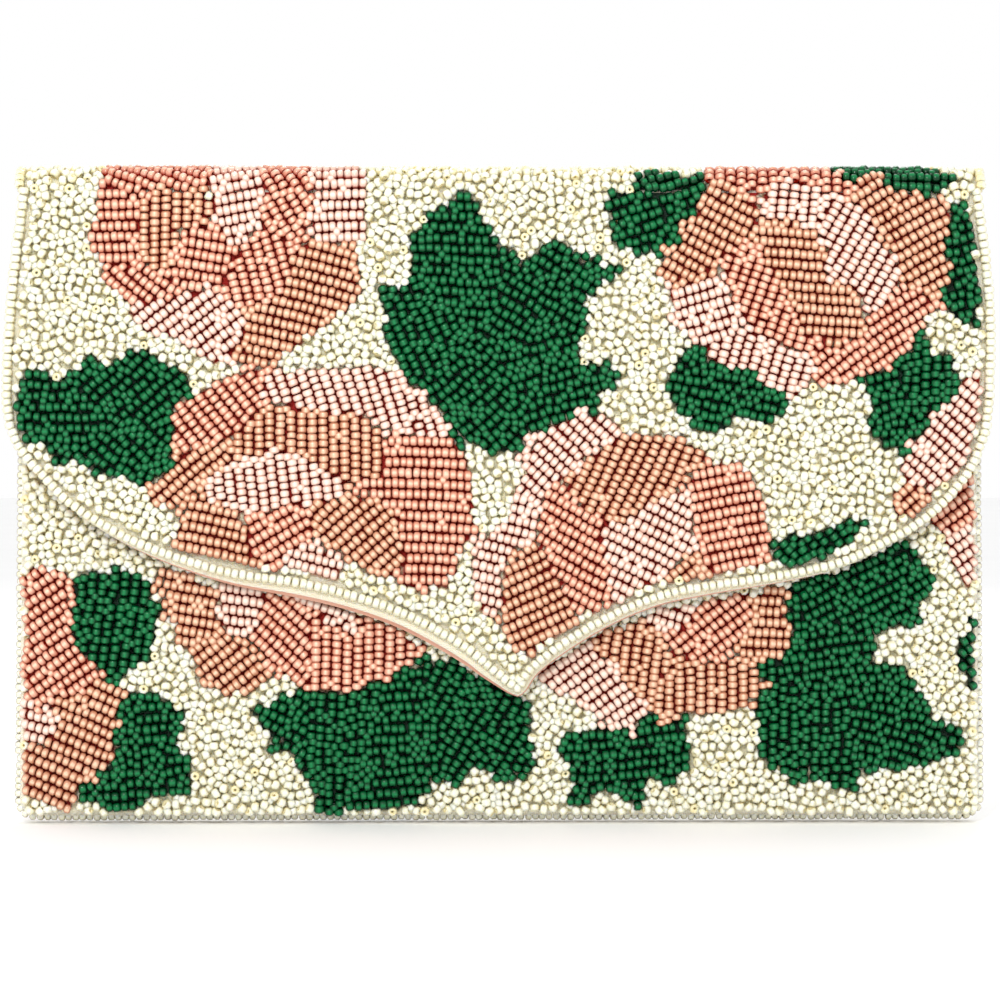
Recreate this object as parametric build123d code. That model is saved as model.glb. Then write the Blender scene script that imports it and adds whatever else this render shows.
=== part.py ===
"""Beaded foldover clutch purse: a flat pouch, a spine strip over its mouth, and a flap with a pointed edge.

Frame: +X across the width, +Z up, the flap on the -Y side, origin at the middle of the bottom edge.
Every panel is a stack of layers. From the outside in they are beads, ground cloth, interlining and lining.
"""
import os

from build123d import *

# Overall sizes, in millimetres
HEIGHT = 161.0
BOTTOM_HALF_WIDTH = 120.3
WAIST_HALF_WIDTH = 117.3
MOUTH_HALF_WIDTH = 118.5
WAIST_Z = 82.0
BOTTOM_CORNER_RADIUS = 5.0
FLAP_HALF_WIDTH = 121.7
FLAP_TOP_HALF_WIDTH = 118.9
FRONT_PANEL_TOP = 150.0

# Layer thicknesses
BEAD_LAYER = 2.4
CLOTH_LAYER = 0.6
INTERLINING_LAYER = 1.2
LINING_LAYER = 0.4
COMPARTMENT_DEPTH = 6.0
FLAP_CLEARANCE = 1.6

# Edges and creases
STRAND_RADIUS = 1.2
STRAND_GAP = 0.1
PANEL_MARGIN = 3.6
BINDING_WIDTH = 3.0
BINDING_ROUNDING = 2.0
CREASE_GAP = 0.2
FLAP_CLOTH_MARGIN = 0.7
FLAP_STRAND_INSET = 1.9
FLAP_BEAD_INSET = 3.3

# Flap edge, right half, from the side down to the tip: (x, z) ends of tangent arcs
FLAP_SIDE_BOTTOM = (FLAP_HALF_WIDTH, 111.0)
FLAP_EDGE = [(100.9, 73.0), (64.3, 59.1), (42.4, 55.1), (24.8, 49.3), (0.0, 31.1)]
TIP_SHIFT = 4.0

# Slip pocket on the back lining
POCKET_HALF_WIDTH = 75.0
POCKET_BOTTOM = 25.0
POCKET_TOP = 115.0
POCKET_SHEET = 0.4
POCKET_HEM_HEIGHT = 8.0

# Magnetic snap
SNAP_X = TIP_SHIFT
SNAP_Z = 60.0
SNAP_RADIUS = 7.0
SNAP_WALL = 0.5
SNAP_BEAD_CLEARANCE = 0.4
CUP_DEPTH = 3.2
PLATE_THICKNESS = 0.3
HOLE_RADIUS = 3.3
POST_RADIUS = 2.7
POST_END_GAP = 0.4
STUD_DISC = 0.5
WASHER_RADIUS = 6.4
WASHER_HOLE = 2.0
WASHER_THICKNESS = 0.4
RECESS_RADIUS = 6.8
RECESS_DEPTH = 0.8
PRONG_OFFSET = 4.0
PRONG_WIDTH = 3.0
PRONG_THICKNESS = 0.5
PRONG_FOLD = 2.2
SLOT_CLEARANCE = 0.15
MAGNET_GAP = 0.1

# Depths of the layers' inner faces below the outer face of the cloth
CLOTH_DEPTH = CLOTH_LAYER
INTERLINING_DEPTH = CLOTH_DEPTH + INTERLINING_LAYER
LINING_DEPTH = INTERLINING_DEPTH + LINING_LAYER
SPINE_LINING_DEPTH = CLOTH_LAYER + LINING_LAYER
PANEL = BEAD_LAYER + LINING_DEPTH
THICKNESS = 3 * PANEL + COMPARTMENT_DEPTH + FLAP_CLEARANCE

# Places of the cloths' outer faces, which are also the creases
BACK_CLOTH_Y = THICKNESS / 2 - BEAD_LAYER
FLAP_CLOTH_Y = -BACK_CLOTH_Y
CREASE_Z = HEIGHT - BEAD_LAYER
BACK_LINING_Y = BACK_CLOTH_Y - LINING_DEPTH
FRONT_LINING_Y = BACK_LINING_Y - COMPARTMENT_DEPTH
FRONT_CLOTH_Y = FRONT_LINING_Y - LINING_DEPTH
FLAP_LINING_Y = FLAP_CLOTH_Y + LINING_DEPTH
BINDING_INSET = 2 * STRAND_RADIUS + STRAND_GAP
LAYER_INSET = BINDING_INSET + BINDING_WIDTH
FAR = 400.0


def plate(face, y_low, y_high):
    """A face drawn in XZ, made solid between two Y values."""
    return extrude(Plane.XZ.offset(-y_high) * face, y_high - y_low)


def below(z):
    """The half of the XZ plane under a height, as a face."""
    return Pos(0, z - FAR / 2) * Rectangle(2 * FAR, FAR)


def pouch_face(inset, top):
    """The pouch's outline, drawn in by an inset and cut off at a height."""
    low = (BOTTOM_HALF_WIDTH - inset, inset)
    waist = (WAIST_HALF_WIDTH - inset, WAIST_Z)
    high = (MOUTH_HALF_WIDTH - inset, HEIGHT)
    right = ThreePointArc(low, waist, high)
    left = ThreePointArc((-high[0], high[1]), (-waist[0], waist[1]), (-low[0], low[1]))
    outline = Line((-low[0], low[1]), low) + right + Line(high, (-high[0], high[1])) + left
    face = make_face(outline)
    radius = BOTTOM_CORNER_RADIUS - inset
    if radius > 0:
        face = fillet(face.vertices().sort_by(Axis.Y)[:2], radius)
    return face & below(top)


def flap_half(sign):
    """One side of the flap's edge, from its top down to the tip, as tangent arcs."""
    points = [FLAP_SIDE_BOTTOM] + FLAP_EDGE
    points = [(sign * x + TIP_SHIFT * (1 - x / FLAP_HALF_WIDTH), z) for x, z in points]
    top = (sign * FLAP_TOP_HALF_WIDTH, HEIGHT)
    arcs = [TangentArc(points[0], top, tangent=(0, 1))]
    heading = (0, -1)
    for start, end in zip(points, points[1:]):
        arc = TangentArc(start, end, tangent=heading)
        arcs.append(arc)
        heading = arc % 1
    return arcs


def flap_face(inset, top):
    """The flap's outline, drawn in by an inset and cut off at a height."""
    extension = Line((-FLAP_TOP_HALF_WIDTH, HEIGHT), (FLAP_TOP_HALF_WIDTH, HEIGHT))
    face = make_face(flap_half(1) + flap_half(-1) + [extension])
    tall = face + Pos(0, HEIGHT + PANEL / 2) * Rectangle(2 * FLAP_TOP_HALF_WIDTH, PANEL)
    if inset > 0:
        tall = offset(tall, -inset)
    return tall & below(top)


def strand_tube(wire, y):
    """A strand of beads as a tube along a wire drawn in XZ."""
    path = Plane.XZ.offset(-y) * wire
    section = Plane(origin=path @ 0, z_dir=path % 0) * Circle(STRAND_RADIUS)
    return sweep(section, path=path, transition=Transition.ROUND)


def open_wire(face, top):
    """A face's outline without its straight top edge."""
    edges = [edge for edge in face.edges() if edge.center().Y < top - STRAND_GAP]
    return Wire(edges)


def panel_layers(face_at, cloth_y, inward, bead_inset, cloth_inset, lining_inset, top):
    """The four layers of a panel, whose inside lies on the given side of its cloth."""
    depths = {
        "bead_field": (-BEAD_LAYER, 0.0, bead_inset),
        "ground_cloth": (0.0, CLOTH_DEPTH, cloth_inset),
        "interlining": (CLOTH_DEPTH, INTERLINING_DEPTH, cloth_inset),
        "lining": (INTERLINING_DEPTH, LINING_DEPTH, lining_inset),
    }
    layers = {}
    for name, (outer, inner, inset) in depths.items():
        ends = sorted((cloth_y + inward * outer, cloth_y + inward * inner))
        layers[name] = plate(face_at(inset, top - inner), *ends)
    return layers


def snap_disc(radius, y_low, y_high):
    """A round plate on the snap's axis."""
    return plate(Pos(SNAP_X, SNAP_Z) * Circle(radius), y_low, y_high)


def prong_legs(y_low, y_high, clearance=0.0):
    """The two flat legs of a snap half, or the slots that they pass through."""
    leg = Rectangle(PRONG_THICKNESS + 2 * clearance, PRONG_WIDTH + 2 * clearance)
    pair = [Pos(SNAP_X + side * PRONG_OFFSET, SNAP_Z) * leg for side in (-1, 1)]
    return plate(pair[0] + pair[1], y_low, y_high)


def folded_tabs(y_low, y_high):
    """The ends of the two legs, folded outwards over the washer."""
    tab = Rectangle(PRONG_FOLD, PRONG_WIDTH)
    reach = PRONG_OFFSET - PRONG_THICKNESS / 2 + PRONG_FOLD / 2
    pair = [Pos(SNAP_X + side * reach, SNAP_Z) * tab for side in (-1, 1)]
    return plate(pair[0] + pair[1], y_low, y_high)


def washer(y_low, y_high):
    """A backing washer with a slot for each leg."""
    ring = snap_disc(WASHER_RADIUS, y_low, y_high) - snap_disc(WASHER_HOLE, y_low, y_high)
    return ring - prong_legs(y_low, y_high, SLOT_CLEARANCE)


def make_pouch():
    """The back and front panels, with the slip pocket on the back lining."""
    insets = (PANEL_MARGIN, LAYER_INSET, LAYER_INSET)
    back = panel_layers(pouch_face, BACK_CLOTH_Y, -1, *insets, CREASE_Z - CREASE_GAP)
    front = panel_layers(pouch_face, FRONT_CLOTH_Y, 1, *insets, FRONT_PANEL_TOP)
    nodes = {f"back_{name}": solid for name, solid in back.items()}
    nodes.update({f"front_{name}": solid for name, solid in front.items()})
    middle = (POCKET_BOTTOM + POCKET_TOP) / 2
    sheet = Pos(0, middle) * Rectangle(2 * POCKET_HALF_WIDTH, POCKET_TOP - POCKET_BOTTOM)
    hem_middle = POCKET_TOP - POCKET_HEM_HEIGHT / 2
    hem = Pos(0, hem_middle) * Rectangle(2 * POCKET_HALF_WIDTH, POCKET_HEM_HEIGHT)
    pocket_y = BACK_LINING_Y - POCKET_SHEET
    fold = plate(hem, pocket_y - POCKET_SHEET, pocket_y)
    nodes["slip_pocket"] = plate(sheet, pocket_y, BACK_LINING_Y) + fold
    return nodes


def make_seams():
    """The bindings that close the pouch, and the bead strands along them, split at the bottom corners."""
    rim = pouch_face(BINDING_INSET, HEIGHT)
    bar = plate(rim, FRONT_CLOTH_Y, BACK_CLOTH_Y)
    face_edges = bar.faces().sort_by(Axis.Y)[0].edges() + bar.faces().sort_by(Axis.Y)[-1].edges()
    long_edges = [edge for edge in face_edges if edge.center().Z < HEIGHT - STRAND_GAP]
    bar = fillet(long_edges, BINDING_ROUNDING)
    bar -= plate(pouch_face(LAYER_INSET, HEIGHT + 1), FRONT_CLOTH_Y, BACK_CLOTH_Y)
    binding = bar & plate(below(FRONT_PANEL_TOP), -THICKNESS, THICKNESS)

    path = open_wire(pouch_face(STRAND_RADIUS, FRONT_PANEL_TOP), FRONT_PANEL_TOP)
    strand = strand_tube(path, (FRONT_CLOTH_Y + BACK_CLOTH_Y) / 2)

    corner = BOTTOM_HALF_WIDTH
    reach = 3 * BOTTOM_CORNER_RADIUS
    low_ends = [(-corner - reach, -reach), (corner + reach, -reach)]
    high_ends = [(corner - reach, reach), (-corner + reach, reach)]
    bottom_zone = plate(make_face(Polyline(*low_ends, *high_ends, close=True)), -THICKNESS, THICKNESS)
    right_zone = plate(Pos(FAR / 2, 0) * Rectangle(FAR, 2 * FAR), -THICKNESS, THICKNESS)
    nodes = {}
    for name, whole in (("seam_binding", binding), ("edge_beads", strand)):
        sides = whole - bottom_zone
        nodes[f"bottom_{name}"] = whole & bottom_zone
        nodes[f"right_{name}"] = sides & right_zone
        nodes[f"left_{name}"] = sides - right_zone
    mouth_z = FRONT_PANEL_TOP + STRAND_RADIUS + STRAND_GAP
    mouth_reach = WAIST_HALF_WIDTH - LAYER_INSET
    mouth = Line((-mouth_reach, mouth_z), (mouth_reach, mouth_z))
    nodes["mouth_edge_beads"] = strand_tube(Wire([mouth]), FRONT_CLOTH_Y - STRAND_RADIUS)
    return nodes


def make_spine():
    """The strip over the mouth, between the back crease and the front crease."""
    lining_z = CREASE_Z - SPINE_LINING_DEPTH
    layers = {
        "spine_bead_field": (CREASE_Z, HEIGHT, CREASE_GAP, PANEL_MARGIN),
        "spine_ground_cloth": (CREASE_Z - CLOTH_DEPTH, CREASE_Z, CLOTH_DEPTH + CREASE_GAP, 0.0),
        "spine_lining": (lining_z, CREASE_Z - CLOTH_DEPTH, SPINE_LINING_DEPTH + CREASE_GAP, 0.0),
    }
    nodes = {}
    for name, (low, high, end_gap, margin) in layers.items():
        strip = Rectangle(2 * (MOUTH_HALF_WIDTH - margin), 2 * (BACK_CLOTH_Y - end_gap))
        nodes[name] = extrude(Plane.XY.offset(low) * strip, high - low)
    length = 2 * (BACK_CLOTH_Y - CREASE_GAP)
    place = (MOUTH_HALF_WIDTH - STRAND_RADIUS, CREASE_Z + STRAND_RADIUS)
    strand = Rot(90, 0, 0) * Cylinder(STRAND_RADIUS, length)
    nodes["spine_edge_beads"] = Compound([Pos(side * place[0], 0, place[1]) * strand for side in (-1, 1)])
    return nodes


def make_flap():
    """The flap's four layers and the strand along its pointed edge."""
    strand_top = CREASE_Z - CREASE_GAP
    insets = (FLAP_BEAD_INSET, FLAP_CLOTH_MARGIN, 0)
    layers = panel_layers(flap_face, FLAP_CLOTH_Y, 1, *insets, strand_top)
    nodes = {f"flap_{name}": solid for name, solid in layers.items()}
    path = open_wire(flap_face(FLAP_STRAND_INSET, strand_top), strand_top)
    nodes["flap_edge_beads"] = strand_tube(path, FLAP_CLOTH_Y - STRAND_RADIUS)
    return nodes


def make_snap_socket(nodes):
    """The hollow half of the snap, which stands on the front panel's cloth."""
    face_y = FRONT_CLOTH_Y - CUP_DEPTH
    skirt = snap_disc(SNAP_RADIUS, face_y, FRONT_CLOTH_Y)
    hollow = snap_disc(SNAP_RADIUS - SNAP_WALL, face_y + SNAP_WALL, FRONT_CLOTH_Y)
    nodes["snap_socket_cup"] = skirt - hollow - snap_disc(HOLE_RADIUS, face_y, FRONT_CLOTH_Y)

    plate_y = FRONT_CLOTH_Y - PLATE_THICKNESS
    inner = SNAP_RADIUS - SNAP_WALL - MAGNET_GAP
    ring = snap_disc(inner, face_y + SNAP_WALL + MAGNET_GAP, plate_y)
    nodes["snap_socket_magnet"] = ring - snap_disc(HOLE_RADIUS + MAGNET_GAP, face_y, FRONT_CLOTH_Y)

    recess_y = FRONT_LINING_Y - LINING_LAYER - RECESS_DEPTH
    tab_y = recess_y + WASHER_THICKNESS
    legs = prong_legs(FRONT_CLOTH_Y, tab_y)
    tabs = folded_tabs(tab_y, recess_y + RECESS_DEPTH)
    nodes["snap_socket_prongs"] = snap_disc(inner, plate_y, FRONT_CLOTH_Y) + legs + tabs
    nodes["snap_socket_washer"] = washer(recess_y, tab_y)

    slots = prong_legs(-THICKNESS, THICKNESS, SLOT_CLEARANCE)
    bead_hole = snap_disc(SNAP_RADIUS + SNAP_BEAD_CLEARANCE, -THICKNESS, THICKNESS)
    nodes["front_bead_field"] = nodes["front_bead_field"] - bead_hole
    nodes["front_ground_cloth"] = nodes["front_ground_cloth"] - slots
    recess = snap_disc(RECESS_RADIUS, recess_y, recess_y + RECESS_DEPTH)
    nodes["front_interlining"] = nodes["front_interlining"] - recess - slots


def make_snap_stud(nodes):
    """The half of the snap with the post, which sits on the flap's lining."""
    disc_y = FLAP_LINING_Y + STUD_DISC
    post_end = FRONT_CLOTH_Y - PLATE_THICKNESS - POST_END_GAP
    stud = snap_disc(SNAP_RADIUS, FLAP_LINING_Y, disc_y) + snap_disc(POST_RADIUS, disc_y, post_end)
    recess_y = FLAP_CLOTH_Y + CLOTH_LAYER
    tab_y = recess_y + RECESS_DEPTH - WASHER_THICKNESS
    washer_y = tab_y + WASHER_THICKNESS
    nodes["snap_stud_post"] = stud
    nodes["snap_stud_prongs"] = prong_legs(tab_y, FLAP_LINING_Y) + folded_tabs(recess_y, tab_y)
    nodes["snap_stud_washer"] = washer(tab_y, washer_y)
    slots = prong_legs(recess_y, FLAP_LINING_Y, SLOT_CLEARANCE)
    nodes["flap_lining"] = nodes["flap_lining"] - slots
    recess = snap_disc(RECESS_RADIUS, recess_y, washer_y)
    nodes["flap_interlining"] = nodes["flap_interlining"] - recess - slots


def main():
    nodes = make_pouch()
    nodes.update(make_seams())
    nodes.update(make_spine())
    nodes.update(make_flap())
    make_snap_socket(nodes)
    make_snap_stud(nodes)
    os.makedirs("parts", exist_ok=True)
    for name, solid in nodes.items():
        export_step(solid, f"parts/{name}.step")


main()
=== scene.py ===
"""The looks of the beaded foldover clutch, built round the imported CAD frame."""
import math

import bpy
import numpy as np
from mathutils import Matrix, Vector


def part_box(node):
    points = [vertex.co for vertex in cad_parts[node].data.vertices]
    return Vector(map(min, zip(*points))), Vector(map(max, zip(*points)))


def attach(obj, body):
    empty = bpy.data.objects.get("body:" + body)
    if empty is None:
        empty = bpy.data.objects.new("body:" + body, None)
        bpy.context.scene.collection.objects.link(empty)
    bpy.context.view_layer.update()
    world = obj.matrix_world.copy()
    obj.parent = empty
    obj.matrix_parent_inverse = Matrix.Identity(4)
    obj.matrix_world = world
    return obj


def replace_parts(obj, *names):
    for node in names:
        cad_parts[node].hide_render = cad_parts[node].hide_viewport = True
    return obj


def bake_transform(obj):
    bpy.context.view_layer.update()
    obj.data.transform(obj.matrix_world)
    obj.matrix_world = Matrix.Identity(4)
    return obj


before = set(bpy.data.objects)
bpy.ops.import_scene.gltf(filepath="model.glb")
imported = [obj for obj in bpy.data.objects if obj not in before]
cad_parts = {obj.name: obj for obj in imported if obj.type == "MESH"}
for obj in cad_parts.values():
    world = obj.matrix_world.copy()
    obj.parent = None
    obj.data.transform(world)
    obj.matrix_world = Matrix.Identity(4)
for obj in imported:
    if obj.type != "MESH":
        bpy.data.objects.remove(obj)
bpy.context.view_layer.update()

MM = 0.001
RNG = np.random.default_rng(41)

# ---------------------------------------------------------------- sizes, in millimetres, from the frame


def node_box(name):
    """A CAD node's lowest and highest corners, in millimetres."""
    low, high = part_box(name)
    return np.array(low) / MM, np.array(high) / MM


BACK_CLOTH_Y = node_box("back_ground_cloth")[1][1]
FRONT_CLOTH_Y = node_box("front_ground_cloth")[0][1]
FLAP_CLOTH_Y = node_box("flap_ground_cloth")[0][1]
CREASE_Z = node_box("spine_bead_field")[0][2]
HEIGHT = node_box("spine_bead_field")[1][2]
MOUTH_Z = node_box("front_bead_field")[1][2]
SEAM_Y = float(np.mean([node_box("bottom_edge_beads")[0][1], node_box("bottom_edge_beads")[1][1]]))
STRAND_R = (node_box("mouth_edge_beads")[1][2] - node_box("mouth_edge_beads")[0][2]) / 2
BEAD_LAYER = HEIGHT - CREASE_Z
CLOTH_T = 0.6
INTERLINING_T = 1.2
LINING_T = 0.4
LINING_DEPTH = CLOTH_T + INTERLINING_T + LINING_T
BOTTOM_SPREAD = 1.2
BOTTOM_HALF = node_box("bottom_edge_beads")[1][0] + BOTTOM_SPREAD
WAIST_HALF = 119.2
WAIST_Z = 82.0
TOP_HALF = node_box("spine_edge_beads")[1][0]
FLAP_HALF = node_box("flap_lining")[1][0]
FOLD_R = 4.0
BEAD_R = BEAD_LAYER / 2
BEAD_FOLD_R = FOLD_R + BEAD_R

# Pattern heights: up the flap, over the front fold, across the spine, over the back fold and down the back
S_FOLD = CREASE_Z - FOLD_R
S_SPINE = S_FOLD + BEAD_FOLD_R * math.pi / 2
SPINE_FLAT = BACK_CLOTH_Y - FLAP_CLOTH_Y - 2 * FOLD_R
S_BACK = S_SPINE + SPINE_FLAT
S_DOWN = S_BACK + BEAD_FOLD_R * math.pi / 2
S_END = S_DOWN + S_FOLD

# How far the panels fall away towards their edges, and how far in from an edge that starts
CORNER_R = 5.0
EDGE_DROP = 4.2
EDGE_REACH = 24.0
BOTTOM_RISE_POWER = 0.9
FLAP_DROP = 2.6
FLAP_REACH = 26.0
DROP_FADE = 60
BACK_LEAST_DROP = 0.35
FLAP_LEAST_DROP = 0.5

# Low waves of the cloth, as height and length across and up it, and each panel's place in them
BROAD_WAVE = (0.35, 31, 23)
FINE_WAVE = (0.2, 13, 17)
WAVE_FADE = 30
BACK_PHASE, FLAP_PHASE, FRONT_PHASE = 1.0, 2.0, 3.0
FLAP_WAVE_SHARE = 0.8
FRONT_WAVE_SHARE = 0.4

def arrays(*values):
    """The values as arrays of one shape."""
    return np.broadcast_arrays(*[np.asarray(value, float) for value in values])

def ease(d, reach):
    """0 at an edge, rising like a quarter ellipse to 1 at a distance of reach."""
    t = np.clip(d / reach, 0, 1)
    return np.sqrt(1 - (1 - t) ** 2)

def side_half(z):
    """Half the pouch's width at a height, to the outside of its edge strand."""
    z = np.asarray(z, float)
    low = WAIST_HALF + (BOTTOM_HALF - WAIST_HALF) * ((WAIST_Z - z) / WAIST_Z)
    high = WAIST_HALF + (TOP_HALF - WAIST_HALF) * ((z - WAIST_Z) / (HEIGHT - WAIST_Z)) ** 2
    half = np.where(z < WAIST_Z, low, high)
    below = np.clip(CORNER_R - z, 0, CORNER_R)
    return half - (CORNER_R - np.sqrt(CORNER_R ** 2 - below ** 2))

def swell(x, z, phase):
    """Low, soft unevenness of stuffed cloth."""
    height, across, up = BROAD_WAVE
    broad = height * np.sin(x / across + phase) * np.cos(z / up - phase)
    height, across, up = FINE_WAVE
    return broad + height * np.sin(x / across - z / up + 2 * phase)

def pouch_rise(x, z):
    """How far a pouch panel stands out from the seams, from 0 at a seam to 1."""
    return ease(side_half(z) - np.abs(x), EDGE_REACH) * ease(z, EDGE_REACH) ** BOTTOM_RISE_POWER

def back_point(x, s, depth):
    """A point on the back panel or its fold. Depth is measured inwards from the cloth's outer face."""
    x, s, depth = arrays(x, s, depth)
    angle = np.clip((S_DOWN - s) / BEAD_FOLD_R, 0, math.pi / 2)
    z = np.where(s > S_DOWN, S_END - s, S_FOLD)
    fade = np.clip((CREASE_Z - z) / DROP_FADE, BACK_LEAST_DROP, 1)
    drop = EDGE_DROP * (1 - pouch_rise(x, np.maximum(z, 0.0))) * fade
    wave = swell(x, z, BACK_PHASE) * np.clip((S_FOLD - z) / WAVE_FADE, 0, 1)
    centre_y = BACK_CLOTH_Y - FOLD_R - drop + np.where(s > S_DOWN, wave, 0)
    radius = FOLD_R - depth
    return np.stack([x, centre_y + radius * np.cos(angle), z + radius * np.sin(angle)], -1)

def flap_drop(x, s):
    """How far the flap falls back towards its sides."""
    fade = np.clip((CREASE_Z - s) / DROP_FADE, FLAP_LEAST_DROP, 1)
    return FLAP_DROP * (1 - ease(FLAP_HALF - np.abs(x), FLAP_REACH)) * fade

def flap_point(x, s, depth):
    """A point on the flap or its fold."""
    x, s, depth = arrays(x, s, depth)
    angle = np.clip((s - S_FOLD) / BEAD_FOLD_R, 0, math.pi / 2)
    z = np.minimum(s, S_FOLD)
    level = np.clip((S_FOLD - z) / WAVE_FADE, 0, 1)
    wave = np.abs(swell(x, z, FLAP_PHASE)) * level * FLAP_WAVE_SHARE
    centre_y = FLAP_CLOTH_Y + FOLD_R + flap_drop(x, z) - wave
    radius = FOLD_R - depth
    return np.stack([x, centre_y - radius * np.cos(angle), z + radius * np.sin(angle)], -1)

def spine_point(x, s, depth):
    """A point on the strip between the two folds."""
    x, s, depth = arrays(x, s, depth)
    front = flap_point(x, S_SPINE, depth)
    back = back_point(x, S_BACK, depth)
    t = np.clip((s - S_SPINE) / SPINE_FLAT, 0, 1)[..., None]
    return front + (back - front) * t

def front_point(x, z, depth):
    """A point on the front panel, which has no fold."""
    x, z, depth = arrays(x, z, depth)
    drop = EDGE_DROP * (1 - pouch_rise(x, np.maximum(z, 0.0)))
    y = FRONT_CLOTH_Y + drop + depth + FRONT_WAVE_SHARE * np.abs(swell(x, z, FRONT_PHASE))
    return np.stack([x, y, z], -1)

def frames(surface, x, s, depth):
    """Points on a surface with their right, up and outward directions."""
    step = 0.4
    point = surface(x, s, depth)
    right = surface(x + step, s, depth) - surface(x - step, s, depth)
    up = surface(x, s + step, depth) - surface(x, s - step, depth)
    right /= np.linalg.norm(right, axis=-1, keepdims=True)
    up /= np.linalg.norm(up, axis=-1, keepdims=True)
    out = np.cross(right, up)
    out /= np.linalg.norm(out, axis=-1, keepdims=True)
    up = np.cross(out, right)
    return point, right, up, out

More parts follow.
